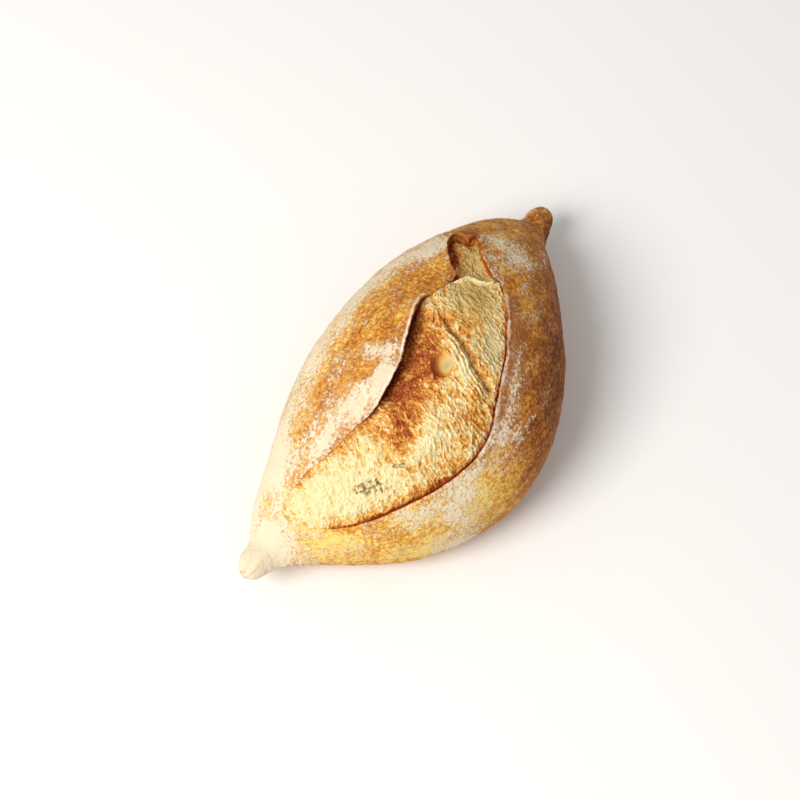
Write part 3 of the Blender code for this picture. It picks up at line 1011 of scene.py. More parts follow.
@dataclass(frozen=True)
class CrustFinish(BakedFinish):
    """Browned crust under flour dust, with a pale line, partly painted highlight, and a dark red line along
    the slash.
    """

    pale: Colour = linear(242, 210, 120)
    gold: Colour = linear(210, 142, 52)
    brown: Colour = linear(165, 97, 43)
    dark: Colour = linear(98, 47, 19)
    flour: Colour = linear(232, 215, 186)
    # The pale line's colour: partly flour, partly a painted highlight on the edge's lit top.
    edge: Colour = linear(250, 244, 230)
    red: Colour = linear(156, 30, 20)
    specular: float = 0.05
    bump_depth: float = 0.6 * MM
    grain_coarse: float = 800.0
    grain_fine: float = 1900.0
    grain_share: float = 0.4
    speckle: float = 0.76
    mottle: float = 1.0
    mottle_scale: float = 210.0
    mottle_stretch: float = 2.2
    least_mottle: float = 0.7
    baked_mottle: float = 0.4
    calming: float = 0.7
    dust_patches: float = 1.1
    dust_scale: float = 180.0
    dust_stretch: float = 2.0
    dust_size: float = 1050.0
    dust_sharpness: float = 6.5
    dust_veil: float = 0.30
    dust_relief: float = 0.35
    bare_roughness: float = 0.56
    floured_roughness: float = 0.95

    def material(self, effects: SharedEffects) -> bpy.types.Material:
        """The crust's material.

        Args:
            effects: The shared shader effects.

        Returns:
            The material.
        """
        material, sheet, shader = new_material("floured_crust")
        place = sheet.place()
        bake, flour, pale, red, calm = map(sheet.attribute, ("bake", "flour", "pale", "red", "calm"))
        lively = sheet.dimmed(calm, self.calming)
        grain = sheet.group(
            effects.grain, place=place, coarse=self.grain_coarse, fine=self.grain_fine,
            share=self.grain_share,
        )
        stretched = sheet.place(stretch=self.mottle_stretch)
        patches = sheet.noise(stretched, self.mottle_scale, detail=3.0, roughness=0.6)
        speckles = sheet.centred(grain["Speckle"], self.speckle)
        spots = sheet.math("ADD", sheet.centred(patches, self.mottle), speckles)
        strength = sheet.product(lively, sheet.scaled(bake, self.baked_mottle, self.least_mottle))
        baked = self.baked(sheet, effects, bake, sheet.product(spots, strength))
        lined = sheet.mix(red, baked, self.red)
        drifts = sheet.noise(
            sheet.place(stretch=self.dust_stretch), self.dust_scale, detail=3.0, roughness=0.6
        )
        dust_shift = sheet.product(sheet.centred(drifts, self.dust_patches), lively)
        floured = sheet.group(
            effects.flour, place=place, surface=lined, flour=self.flour, calm=calm,
            amount=sheet.math("ADD", flour, dust_shift), size=self.dust_size,
            sharpness=self.dust_sharpness, veil=self.dust_veil,
        )
        cover = floured["Cover"]
        roughness = sheet.ramp(cover, 0.0, 1.0, self.bare_roughness, self.floured_roughness)
        # The pale edge line: partly flour, partly painted highlight.
        looks = {"Base Color": sheet.mix(pale, floured["Colour"], self.edge), "Roughness": roughness}
        self.finish(sheet, shader, looks, sheet.scaled(cover, self.dust_relief, grain["Height"]))
        return material


@dataclass(frozen=True)
class CrumbFinish(BakedFinish):
    """Torn crumb: cream where it is soft, orange-brown where it baked, olive-grey in patches that are
    partly painted shade.
    """

    pale: Colour = linear(233, 220, 172)
    gold: Colour = linear(224, 167, 76)
    brown: Colour = linear(187, 111, 48)
    dark: Colour = linear(134, 48, 38)
    olive: Colour = linear(178, 150, 88)
    red: Colour = linear(150, 38, 22)
    # The pores' darker olive is painted shade inside them.
    hollow: Colour = linear(146, 130, 80)
    specular: float = 0.12
    bump_depth: float = 0.4 * MM
    grain_coarse: float = 1000.0
    grain_fine: float = 2200.0
    grain_share: float = 0.5
    fibre_stretch: float = 1.9
    fibre_turn: float = 62.0
    speckle: float = 0.5
    vein: float = 0.40
    vein_level: float = -0.35
    mottle: float = 1.2
    mottle_scale: float = 260.0
    least_mottle: float = 0.7
    baked_mottle: float = 0.7
    calming: float = 0.9
    low_roughness: float = 0.8
    high_roughness: float = 0.9

    def material(self, effects: SharedEffects) -> bpy.types.Material:
        """The crumb's material.

        Args:
            effects: The shared shader effects.

        Returns:
            The material.
        """
        material, sheet, shader = new_material("torn_crumb")
        bake, olive, hollow, red, calm = map(sheet.attribute, ("bake", "olive", "hollow", "red", "calm"))
        place = sheet.place(stretch=self.fibre_stretch, turn=self.fibre_turn)
        grain = sheet.group(
            effects.grain, place=place, coarse=self.grain_coarse, fine=self.grain_fine,
            share=self.grain_share,
        )
        patches = sheet.noise(sheet.place(), self.mottle_scale, detail=3.0, roughness=0.6)
        speckles = sheet.scaled(grain["Speckle"], self.speckle, self.vein_level)
        veined = sheet.scaled(grain["Veins"], self.vein, speckles)
        spots = sheet.math("ADD", sheet.centred(patches, self.mottle), veined)
        lively = sheet.dimmed(calm, self.calming)
        strength = sheet.product(lively, sheet.scaled(bake, self.baked_mottle, self.least_mottle))
        baked = self.baked(sheet, effects, bake, sheet.product(spots, strength))
        olive_toned = sheet.mix(olive, baked, self.olive)
        # Painted shade in the pores.
        pore_shade_share = sheet.product(hollow, sheet.ramp(grain["Speckle"], 0.2, 0.8, 0.35, 1.0))
        hollowed = sheet.mix(pore_shade_share, olive_toned, self.hollow)
        roughness = sheet.ramp(grain["Speckle"], 0.0, 1.0, self.high_roughness, self.low_roughness)
        looks = {"Base Color": sheet.mix(red, hollowed, self.red), "Roughness": roughness}
        self.finish(sheet, shader, looks, grain["Height"])
        return material


@dataclass(frozen=True)
class FloorFinish:
    """A plain pale floor with faint cloudiness."""

    light: Colour = (0.93, 0.93, 0.93, 1.0)
    shade: Colour = (0.89, 0.89, 0.89, 1.0)
    roughness: float = 0.85

    def material(self) -> bpy.types.Material:
        """The floor's material.

        Returns:
            The material.
        """
        material, sheet, shader = new_material("pale_floor")
        clouds = sheet.noise(sheet.place(), scale=3.0, detail=2.0)
        sheet.feed(shader.inputs["Base Color"], sheet.mix(clouds, self.light, self.shade))
        shader.inputs["Roughness"].default_value = self.roughness
        return material


def placed(name: str, data: bpy.types.ID) -> bpy.types.Object:
    """A new object of the scene that shows a mesh, a light or a camera.

    Args:
        name: The object's name.
        data: What it shows.

    Returns:
        The object.
    """
    thing = bpy.data.objects.new(name, data)
    bpy.context.scene.collection.objects.link(thing)
    return thing


def keep_values(data: bpy.types.Mesh, **kept: Array) -> None:
    """Keeps values at a mesh's first vertices, held between 0 and 1, and 0 at the rest.

    Args:
        data: The mesh.
        kept: The values, under the name of their attribute.
    """
    for name, values in kept.items():
        everywhere = np.zeros(len(data.vertices), np.float32)
        everywhere[: len(values)] = np.clip(values, 0.0, 1.0)
        data.attributes.new(name, "FLOAT", "POINT").data.foreach_set("value", everywhere)


def finished_object(name: str, mesh: Mesh, points: Array) -> bpy.types.Object:
    """A smooth-shaded object from a mesh, with its vertices at the given places.

    Args:
        name: The object's name.
        mesh: The mesh, which is freed.
        points: The place of each vertex.

    Returns:
        The object, linked to the scene.
    """
    data = bpy.data.meshes.new(name)
    mesh.to_mesh(data)
    mesh.free()
    data.vertices.foreach_set("co", points.astype(np.float32).ravel())
    data.update()
    data.shade_smooth()
    return placed(name, data)


def vertex_array(mesh: Mesh) -> Array:
    """The mesh's vertices as an array."""
    return np.array([vertex.co for vertex in mesh.verts])


@dataclass
class RollShape:
    """What both pieces are shaped by: the loaf, its unevenness, the slash and the crumb's level."""

    form: LoafForm
    unevenness: Unevenness
    slash: Slash
    crumb: CrumbForm
    shift: Array

    @staticmethod
    def make() -> "RollShape":
        """The roll's shape, before it is known how far it shifts to the frame."""
        form = LoafForm()
        return RollShape(form, Unevenness(), Slash(form), CrumbForm(), np.zeros(3))

    def fit_to_frame(self, points: Array) -> None:
        """Works out the shift that centres the crust's points on the frame's solid, base on base.

        Args:
            points: The crust's vertices, unshifted.
        """
        low, high = (np.array(corner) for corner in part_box(NODE_NAME))
        centre = (low + high) / 2 - (points.min(axis=0) + points.max(axis=0)) / 2
        self.shift = np.array([centre[0], centre[1], low[2] - points[:, 2].min()])


@dataclass
class BakedCrust:
    """The browned crust of the whole roll, with the slash cut into it.

    Its dents, wrinkles, folds and specks are as high in millimetres as their numbers say.
    """

    shape: RollShape
    finish: CrustFinish
    rings: int = 248
    segments: int = 228
    first_margin: float = 4.2 * MM
    second_margin: float = 1.7 * MM
    edge_centre: float = 0.5 * MM
    undercut: float = 1.2 * MM
    underside: float = 1.5 * MM
    recess: float = 3.2 * MM
    recess_blend: float = 4.0 * MM
    lean_share: float = 0.5
    lean_reach: float = 60 * MM
    tip_start: float = 56.0 * MM
    tip_length: float = 12.0 * MM
    fold_turns: float = 5.0
    fold_length: float = 7.0 * MM
    fold_height: float = 0.13
    speck_height: float = 0.10
    speck_rarity: float = 0.8
    base_clearance: float = 2.0 * MM
    stria_gaps: tuple[float, ...] = (2.3 * MM, 3.2 * MM, 4.0 * MM)
    stria_width: float = 0.2 * MM
    stria_height: float = 0.12 * MM
    stria_flour: float = 0.20
    edge_place: float = 0.28 * MM
    edge_width: float = 0.25 * MM
    edge_bake: float = 0.25
    wall_bake: float = 0.70
    # The flank facing the key light gets more flour and a paler bake as a painted highlight. The flank
    # turned away gets less flour and a deeper bake, partly real bake and partly painted shade.
    painted_highlight_flour: float = 0.46
    painted_highlight_paling: float = 0.22
    shade_side_flour_loss: float = 0.22
    bake_and_painted_shade: float = 0.33
    smoothed_flour: float = 0.36
    smoothed_bake: float = 0.78
    smoothed_calm: float = 0.9
    smoothed_gap: float = 1.8 * MM
    smoothed_width: float = 1.2 * MM
    smoothed_gain: float = 1.6
    dust_gap: float = 2.2 * MM
    dust_width: float = 1.8 * MM
    edge_bake_reach: float = 1.0 * MM
    whole_line: float = 0.38
    line_left: float = 0.75
    patch_left: float = 0.65
    least_patch: float = 0.55
    patch_range: float = 0.45
    inner_start: float = 0.3
    inner_width: float = 0.25 * MM
    wall_width: float = 0.5 * MM
    highlight_fading: float = 0.45

    DENTS = (Wave(0.18, 8.0, 3.0), Wave(0.13, 3.6, 7.0))
    WRINKLES = Wave(0.09, 2.3, 11.0)
    FOLD_WANDER = Wave(4.0, 9.0, 2.0)
    SPECKS = Wave(4.0, 2.6, 15.0)
    STRIA_WANDER = Wave(0.35 * MM, 6.0, 27.0)
    EDGE_WIDTHS = Wave(1.1, 2.4, 25.0)
    EDGE_BREAKS = Wave(2.4, 1.1, 33.0)
    EDGE_PATCHES = Wave(2.0, 5.0, 35.0)
    HIGHLIGHT_FACING = Ramp(0.40, 0.45)
    UPWARDS = Ramp(-0.25, 0.5)
    HIGHLIGHT_FADE = Ramp(0.0, 32.0 * MM)
    SHADE_FACING = Ramp(0.50, 0.40)
    SHADE_PART = Ramp(-26.0 * MM, 34.0 * MM)
    STRETCHED = Bulge(16.5, -25.0, 12.0, 6.0, 37, 1.0)
    SMOOTHED = Bulge(10.0, -25.0, 20.0, 9.0, 28, 1.0)
    # The paler dabs on the lower crease-side flank, round (-42, -33), (-40, -26) and (-26, -39), are partly
    # paler bake and partly painted light bounced from the floor.
    BAKE = Painting.of(
        0.46,
        (-56, -14, 14, 12, 30, -0.38), (-42, -33, 18, 10, 30, -0.4), (-26, -39, 20, 12, 10, -0.4),
        (-40, -26, 16, 5, 22, -0.34), (-55, 4, 16, 12, 0, -0.34), (22, -36, 34, 14, 0, 0.26),
        (46, -20, 20, 13, 30, 0.29), (46, 2, 8, 7, 0, -0.1), (41.5, 7.5, 4, 4, 0, 0.2),
        (17.5, -24.5, 12, 2.8, 37, 0.34), (70, 0, 9, 9, 0, 0.24),
    )
    # The flour dabs round (-40, -28), (-30, -36) and (-36, -40), on the lower crease-side flank, are partly
    # flour and partly painted light bounced from the floor.
    FLOUR = Painting.of(
        0.18,
        (-27, 1.6, 14, 6.8, -12, 0.47), (-40, 3.6, 8, 5.5, -12, 0.36), (-10.5, 5, 6.4, 3, -55, 0.5),
        (-16, -1.2, 7, 2.4, 13, 0.48), (-49, 11, 13, 9, 0, 0.48), (-68, 3, 14, 12, 0, 0.62),
        (30, 12, 12, 6, -10, 0.4), (46, 3, 6, 5, 0, 0.12), (43, -7, 11, 8, 0, 0.44),
        (-40, -28, 15, 5, 22, 0.36), (32, 11.5, 6, 3, 0, 0.16), (43, 8, 4, 5, 0, -0.26),
        (-30, -36, 17, 6, 22, 0.44), (-36, -40, 18, 9, 22, 0.48), (-12, -38, 12, 7, 5, 0.42),
        (14, -37, 14, 5, 15, 0.2), (6, -31.5, 16, 3.4, 28, 0.34), (17.5, -24.5, 12, 2.6, 37, -0.1),
        (-54, -17, 10, 6, 30, 0.1), (18, 20, 20, 4, -20, 0.18), (-8, 18, 14, 3, -10, -0.1),
        (70, 0, 9, 9, 0, 0.12),
    )
    CALM = Painting.of(
        0.0,
        (-27, 0.6, 12.5, 5.4, -12, 0.6), (-16, -1.2, 7, 2.4, 13, 0.45), (17.5, -24.5, 13, 2.8, 37, 0.85),
        (-68, 3, 14, 12, 0, 0.5),
    )

    def _angles(self, mesh: Mesh) -> tuple[Array, Array]:
        """The loaf's two angles at each vertex of the starting sphere."""
        points = vertex_array(mesh)
        return np.arccos(np.clip(-points[:, 0], -1.0, 1.0)), np.arctan2(points[:, 2], points[:, 1])

    def _distance(self, mesh: Mesh) -> Array:
        """How far inside the slash's edge the starting sphere's vertices will be.

        Args:
            mesh: The sphere.

        Returns:
            The distance of each vertex, far outside for the lower half.
        """
        along, around = self._angles(mesh)
        surface = self.shape.form.point(along, around)
        on_top = np.sin(around) > 0.0
        distance = np.full(len(surface), -self.shape.form.length)
        distance[on_top] = self.shape.slash.field(surface[on_top]).distance
        return distance

    def _refine(self, mesh: Mesh, chosen: Array) -> None:
        """Halves every edge between two chosen vertices.

        Args:
            mesh: The sphere.
            chosen: True for each chosen vertex.
        """
        edges = [edge for edge in mesh.edges if all(chosen[vertex.index] for vertex in edge.verts)]
        bmesh.ops.subdivide_edges(mesh, edges=edges, cuts=1, use_grid_fill=True, use_single_edge=True)
        mesh.verts.index_update()

    def _starting_sphere(self) -> Mesh:
        """A unit sphere with its poles along X, finer round the slash and finest at its edge.

        Returns:
            The sphere, in triangles.
        """
        mesh = bmesh.new()
        bmesh.ops.create_uvsphere(mesh, u_segments=self.segments, v_segments=self.rings, radius=1.0)
        for vertex in mesh.verts:
            vertex.co = Vector((vertex.co.z, vertex.co.y, -vertex.co.x))
        mesh.verts.index_update()
        self._refine(mesh, np.abs(self._distance(mesh)) < self.first_margin)
        self._refine(mesh, np.abs(self._distance(mesh) - self.edge_centre) < self.second_margin)
        bmesh.ops.triangulate(mesh, faces=mesh.faces)
        return mesh

    def _edge(self, distance: Array, lip: Lip, floor: Array) -> tuple[Array, Array]:
        """How the crust's edge moves each point, going over the edge and back under it.

        Args:
            distance: How far inside the torn edge each point is.
            lip: The lip at each point.
            floor: The level of the recess that the crumb fills.

        Returns:
            How far each point moves outwards, and how far over the opening.
        """
        outside = np.minimum(distance, 0.0)
        within = np.maximum(distance, 0.0)
        turn = math.pi * np.clip(within / lip.thickness, 0.0, 1.0)
        under = smooth_step((within - lip.thickness) / self.underside)
        back = smooth_step((within - lip.thickness - self.underside) / self.recess_blend)
        level = lip.rise * np.exp(outside / lip.reach) - 0.5 * lip.thickness * (1.0 - np.cos(turn))
        level = level * (1.0 - under) + floor * under
        place = lip.overhang + 0.5 * lip.thickness * np.sin(turn)
        place = place * (1.0 - under) - self.undercut * under
        place = place * (1.0 - back) + within * back
        lean = lip.overhang * np.exp(outside / (self.lean_share * lip.reach))
        return level, np.where(distance > 0.0, place - within, lean)

    def _relief(self, surface: Array, around: Array) -> Array:
        """The crust's own fine relief: dents, wrinkles, specks, and folds that run into the nipples.

        Args:
            surface: Places on the smooth loaf.
            around: The turn about X of each place.

        Returns:
            How far each place moves outwards.
        """
        lifted = smooth_step(surface[:, 2] / self.base_clearance - 0.5)
        relief = sum(dent.at(surface) for dent in self.DENTS)
        relief += self.WRINKLES.crests(surface)
        tip = smooth_step((np.abs(surface[:, 0]) - self.tip_start) / self.tip_length)
        wander = self.FOLD_WANDER.at(surface)
        folds = np.sin(self.fold_turns * around + wander + surface[:, 0] / self.fold_length)
        relief += self.speck_height * smooth_step(self.SPECKS.at(surface) - self.speck_rarity)
        return (relief + self.fold_height * folds * tip) * lifted * MM

    def _striae(self, surface: Array, distance: Array) -> Array:
        """How much each point lies on one of the thin stretch marks beside the crease, 0 to 1.

        Args:
            surface: Places on the smooth loaf.
            distance: How far inside the torn edge each one is.

        Returns:
            The share of each point.
        """
        wander = self.STRIA_WANDER.at(surface)
        marks = sum(bell(distance + gap + wander, self.stria_width) for gap in self.stria_gaps)
        return marks * self.STRETCHED.share(surface)

    def build(self, effects: SharedEffects) -> bpy.types.Object:
        """Models and dresses the crust.

        Args:
            effects: The shared shader effects.

        Returns:
            The finished piece.
        """
        shape = self.shape
        mesh = self._starting_sphere()
        along, around = self._angles(mesh)
        surface = shape.form.point(along, around)
        normals = shape.form.normal(along, around)
        on_top = np.sin(around) > 0.0
        rim = shape.slash.field(surface)
        lip = shape.slash.lip(rim.place)
        distance = np.where(on_top, shape.slash.torn(rim, lip, surface), -shape.form.length)
        floor = shape.crumb.seated(surface[:, :2], np.maximum(distance, 0.0), lip)
        outwards, sideways = self._edge(distance, lip, floor - self.recess)
        near_slash = distance > -self.lean_reach
        outwards = np.where(near_slash, outwards, 0.0)
        sideways = np.where(near_slash, sideways, 0.0)
        outwards = outwards + shape.unevenness.at(surface)
        outwards += self._relief(surface, around) * (distance < lip.thickness)
        outwards += self.stria_height * self._striae(surface, distance)
        points = surface + normals * outwards[:, None] + rim.inward * sideways[:, None]
        points[:, 2] = np.maximum(points[:, 2], 0.0)
        shape.fit_to_frame(points)
        bmesh.ops.recalc_face_normals(mesh, faces=mesh.faces)
        piece = finished_object("baked_crust", mesh, points + shape.shift)
        self._paint(piece.data, surface, normals, distance, lip)
        piece.data.materials.append(self.finish.material(effects))
        return piece

    def _paint(
        self, data: bpy.types.Mesh, surface: Array, normals: Array, distance: Array, lip: Lip
    ) -> None:
        """Keeps at each vertex how baked and how floured it is, with a painted highlight and painted shade
        on the flanks, and the lines along the edge.

        Args:
            data: The crust's mesh.
            surface: Each vertex's place on the smooth loaf.
            normals: The loaf's normal there.
            distance: How far inside the torn edge each vertex is.
            lip: The lip nearest to each vertex.
        """
        form = self.shape.form
        outside = np.minimum(distance, 0.0)
        # The pale line along the edge, partly flour and partly a painted highlight.
        line_width = self.edge_width * (1.0 + self.EDGE_WIDTHS.at(surface))
        whole = np.clip(self.whole_line * lip.rise / MM, 0.0, 1.0)
        whole = whole + (1.0 - whole) * smooth_step(self.line_left + self.EDGE_BREAKS.at(surface))
        patches = smooth_step(self.patch_left + self.EDGE_PATCHES.at(surface))
        patchy = self.least_patch + self.patch_range * patches
        flour_and_highlight_line = whole * patchy * bell(distance + self.edge_place, line_width)
        inner = smooth_step((distance - self.inner_start * lip.thickness) / self.inner_width)
        wall = smooth_step((distance - lip.thickness) / self.wall_width)
        # Painted highlight on the flank facing the key light, and painted shade with some deeper bake on
        # the flank turned away from it.
        highlight_side = self.HIGHLIGHT_FACING.at(normals[:, 1]) * self.UPWARDS.at(normals[:, 2])
        highlight_side *= 1.0 - self.highlight_fading * self.HIGHLIGHT_FADE.at(surface[:, 0])
        shade_side = self.SHADE_FACING.at(-normals[:, 1]) * self.SHADE_PART.at(surface[:, 0])
        bake = self.BAKE.at(form, surface)
        bake += self.edge_bake * lip.band * np.exp(outside / self.edge_bake_reach)
        bake += self.bake_and_painted_shade * shade_side - self.painted_highlight_paling * highlight_side
        flour = self.FLOUR.at(form, surface) + lip.dust * bell(outside + self.dust_gap, self.dust_width)
        flour += self.stria_flour * self._striae(surface, distance)
        flour += self.painted_highlight_flour * highlight_side - self.shade_side_flour_loss * shade_side
        smoothed = np.minimum(self.smoothed_gain * self.SMOOTHED.share(surface), 1.0)
        smoothed = bell(outside + self.smoothed_gap, self.smoothed_width) * smoothed
        bake += (self.smoothed_bake - bake) * smoothed
        flour += (self.smoothed_flour - flour) * smoothed
        keep_values(
            data, bake=bake * (1.0 - wall) + self.wall_bake * wall, flour=flour * (1.0 - inner),
            pale=lip.pale * flour_and_highlight_line * (1.0 - inner), red=lip.red * inner * (1.0 - wall),
            calm=np.maximum(self.CALM.at(form, surface), self.smoothed_calm * smoothed),
        )


@dataclass
class TornCrumb:
    """The crumb that tore and swelled up through the slash.

    Its lumps, walls, fibres and grain are as high in millimetres as their numbers say.
    """

    shape: RollShape
    finish: CrumbFinish
    cell: float = 0.71 * MM
    cuts: int = 3
    margin: float = 2.0 * MM
    tuck: float = 0.5
    plug_base: float = 20.0 * MM
    fibre_turn: float = 66.0
    recess_painted_shade: float = 0.55
    pore_slope: float = 0.3
    strand_width: float = 1.2 * MM
    warp: float = 0.8 * MM
    wall_level: float = 0.35
    large_wall: float = 0.55
    small_wall: float = 0.28
    fibre_height: float = 0.18
    grain_height: float = 0.55
    rim_line: float = 0.55 * MM
    film_line: float = 0.5 * MM
    film_bake: float = 0.05
    band_power: float = 1.5
    band_over_olive: float = 1.5
    bubble_calm: float = 1.4
    bubble_start: float = 0.6
    shown_start: float = 0.3
    shown_width: float = 1.5 * MM
    least_region: float = 0.1
    least_open: float = 0.35
    open_range: float = 0.65
    open_middle: float = 0.5

    LARGE_CELL = (3.8 * MM, 1.9 * MM)
    SMALL_CELL = (1.7 * MM, 1.0 * MM)
    FIBRE = (5.0 * MM, 0.9 * MM)
    LARGE_WALL = (0.42, 13.0)
    SMALL_WALL = (0.5, 17.0)
    FIBRE_SEED = 41.0
    FIBRE_BEND = Wave(2.4 * MM, 9.0, 21.0)
    PORES = (Wave(0.8, 1.2, 81.0), Wave(0.3, 0.6, 83.0))
    LUMPS = (Wave(0.60, 7.0, 31.0), Wave(0.50, 3.4, 33.0))
    WARPS = (Wave(1.0, 2.6, 61.0), Wave(1.0, 2.6, 67.0), Wave(1.0, 2.6, 71.0))
    OPEN_CELLS = Wave(1.2, 8.0, 91.0)
    COARSE_GRAIN = Wave(0.5, 1.05, 51.0)
    FINE_GRAIN = Wave(0.3, 0.55, 53.0)
    STRAND_WANDER = Wave(0.4, 3.0, 95.0)
    BUBBLE_RIM = Wave(0.5, 1.8, 29.0)
    STRANDS = Bulge(2.0, -17.0, 11.0, 5.0, 62, 0.42)
    CLUSTERS = (
        PoreCluster(Bulge(-41.5, -15.1, 6.8, 2.7, -55, 1.0), 1.3, 0.16),
        PoreCluster(Bulge(-32.8, -18.4, 3.4, 0.9, -50, 1.0), 1.1, 0.30),
        PoreCluster(Bulge(-37.4, -12.6, 2.0, 1.4, -55, 1.0), 0.8, 0.05),
    )
    BAKE = Painting.of(
        0.40,
        (-46, -11, 16, 10, -35, -0.34), (-53, -1, 8, 7, 0, -0.26), (-44, -2, 6, 3, -20, -0.12),
        (-34, -22, 9, 5, -35, -0.16), (-22.5, -21.5, 6, 4.5, -10, -0.3), (-25, -29, 7, 3.5, -20, -0.12),
        # The darker zone under the ear, round (-15.5, -9.4) and (-26, -14.6), is partly deeper bake and
        # partly painted shadow of the ear.
        (-15.5, -9.4, 13.5, 6, 24, 0.55), (-2, -5, 8, 5, 25, 0.12), (7, -9, 6, 5, 25, 0.08),
        (1.7, -23.9, 5, 2.6, 55, 0.2), (-26, -14.6, 6, 4.2, 30, 0.48), (-1, -6, 5, 4, 25, 0.26),
        # Round the bubble, the darker dabs on its left at (-5.4, -11.4) and (-6.4, -13.6) are painted
        # shade, and the pale dab at (-3, -14.1) is a painted highlight.
        (-3.9, -13.4, 5.2, 4.6, 35, 0.2), (-5.4, -11.4, 3.6, 2, 35, 0.4), (-6.4, -13.6, 2.2, 2.2, 0, 0.25),
        (-3, -14.1, 2.4, 2.1, 35, -0.8), (-33, -26, 12, 5, 20, 0.08), (-9, -29, 10, 5, 10, 0.16),
        (8, -7, 5, 6, 0, 0.16), (0.5, -16.5, 8.5, 1.8, 60, -0.3), (4.6, -17, 7, 1.2, 62, 0.25),
        (13.5, -13, 4, 5, 60, 0.22), (4, -25, 9, 3, 60, -0.16), (14, -19.5, 11, 2.6, 48, -0.3),
        (8.3, -21.9, 5, 3, 60, -0.2), (31.3, 5.6, 5, 1.8, 33, 0.55), (37.5, 3, 2, 3, 33, 0.3),
    )
    # The olive-grey patches, near the far end of the long slash, in the short slash and beside the crease,
    # are partly painted shade.
    OLIVE = Painting.of(
        0.0,
        (21, -8, 7, 9, 0, 0.9), (34, 1, 10, 8, 45, 0.7), (10, -20.5, 8, 3, 55, 0.6),
        # The dab at (-3, -14.1) greys the painted highlight in the bubble.
        (-3, -14.1, 2.1, 1.8, 35, 0.85), (31.3, 5.6, 5, 1.8, 33, -0.6),
    )
    CALM = Painting.of(
        0.0,
        (-47, -9, 13, 9, -35, 0.45), (11, -20, 8, 2.4, 52, 0.6),
    )

    def _hollows(self, surface: Array) -> tuple[Array, Array]:
        """The pores.

        Args:
            surface: Places on the smooth loaf.

        Returns:
            How deep a pore is at each place, in metres, and how much the place is one, 0 to 1.
        """
        pattern = sum(wave.at(surface) for wave in self.PORES)
        depth, share = np.zeros(len(surface)), np.zeros(len(surface))
        for cluster in self.CLUSTERS:
            inside = cluster.region.share(surface)
            level = inside + pattern + cluster.openness - 1.0
            opened = smooth_step(level / self.pore_slope) * (inside > self.least_region)
            depth = np.maximum(depth, cluster.depth * MM * opened)
            share = np.maximum(share, opened * min(cluster.depth, 1.0))
        return depth, share

    def _fibre_points(self, points: Array, length: float, width: float) -> Array:
        """Places squeezed so that a pattern of size 1 becomes fibres across the slash.

        Args:
            points: Places on the crumb.
            length: How long a fibre is, in metres.
            width: How wide a fibre is, in metres.

        Returns:
            The squeezed places.
        """
        turn = math.radians(self.fibre_turn)
        bend = self.FIBRE_BEND.at(points)
        along = points[:, 0] * math.cos(turn) + points[:, 1] * math.sin(turn)
        across = points[:, 1] * math.cos(turn) - points[:, 0] * math.sin(turn) + bend
        return np.column_stack([along / length, across / width, points[:, 2] / length])

    def _lumps(self, points: Array) -> Array:
        """The torn crumb's soft lumps, in metres."""
        return sum(lump.at(points) for lump in self.LUMPS) * MM

    def _fine_relief(self, points: Array) -> Array:
        """The torn crumb's cell walls, pull-fibres, grain and strands.

        Args:
            points: Places on the crumb.

        Returns:
            How far each place moves outwards, in metres, about 0 on average.
        """
        warped = points + self.warp * np.column_stack([wave.at(points) for wave in self.WARPS])
        openness = smooth_step(self.open_middle + self.OPEN_CELLS.at(points))
        open_cells = self.least_open + self.open_range * openness
        large = cell_walls_at(self._fibre_points(warped, *self.LARGE_CELL), *self.LARGE_WALL)
        small = cell_walls_at(self._fibre_points(warped, *self.SMALL_CELL), *self.SMALL_WALL)
        fibres = ridges_at(self._fibre_points(points, *self.FIBRE), 1.0, self.FIBRE_SEED)
        grain = self.COARSE_GRAIN.at(warped) + self.FINE_GRAIN.at(points)
        walls = self.large_wall * (large - self.wall_level) * open_cells
        walls += self.small_wall * (small - self.wall_level)
        side = self.shape.crumb.valley.side(points[:, :2])
        waves = np.sin(2.0 * math.pi * (side / self.strand_width + self.STRAND_WANDER.at(points)))
        strands = waves * (side < 0.0) * self.STRANDS.rise(points)
        return (walls + self.fibre_height * fibres + self.grain_height * grain) * MM + strands

    def _grid(self) -> Mesh:
        """A flat fine grid in plan over the opening and a little under the crust round it.

        Returns:
            The grid, with its border open.
        """
        plan = self.shape.slash.plan
        low, high = plan.min(axis=0) - 2 * self.margin, plan.max(axis=0) + 2 * self.margin
        columns, lines = (int(count) for count in np.ceil((high - low) / self.cell))
        centre, half = (low + high) / 2, (high - low) / 2
        mesh = bmesh.new()
        matrix = Matrix.Translation((*centre, 0.0)) @ Matrix.Diagonal((*half, 1.0, 1.0))
        bmesh.ops.create_grid(mesh, x_segments=columns, y_segments=lines, size=1.0, matrix=matrix)
        mesh.verts.index_update()
        surface = self.shape.form.above(vertex_array(mesh)[:, :2])
        kept = self.shape.slash.field(surface).distance > -self.margin
        outside = [face for face in mesh.faces if not all(kept[vertex.index] for vertex in face.verts)]
        bmesh.ops.delete(mesh, geom=outside, context="FACES")
        bmesh.ops.subdivide_edges(mesh, edges=mesh.edges, cuts=self.cuts, use_grid_fill=True)
        mesh.verts.index_update()
        return mesh

    def _close(self, mesh: Mesh) -> None:
        """Draws the grid's border straight down inside the loaf and closes it with a flat base.

        Args:
            mesh: The raised grid.
        """
        border = [edge for edge in mesh.edges if edge.is_boundary]
        drawn = bmesh.ops.extrude_edge_only(mesh, edges=border)["geom"]
        for vertex in (item for item in drawn if isinstance(item, bmesh.types.BMVert)):
            vertex.co.z = self.plug_base
        rest = [edge for edge in mesh.edges if edge.is_boundary]
        bmesh.ops.triangle_fill(mesh, use_beauty=True, edges=rest)
        bmesh.ops.recalc_face_normals(mesh, faces=mesh.faces)

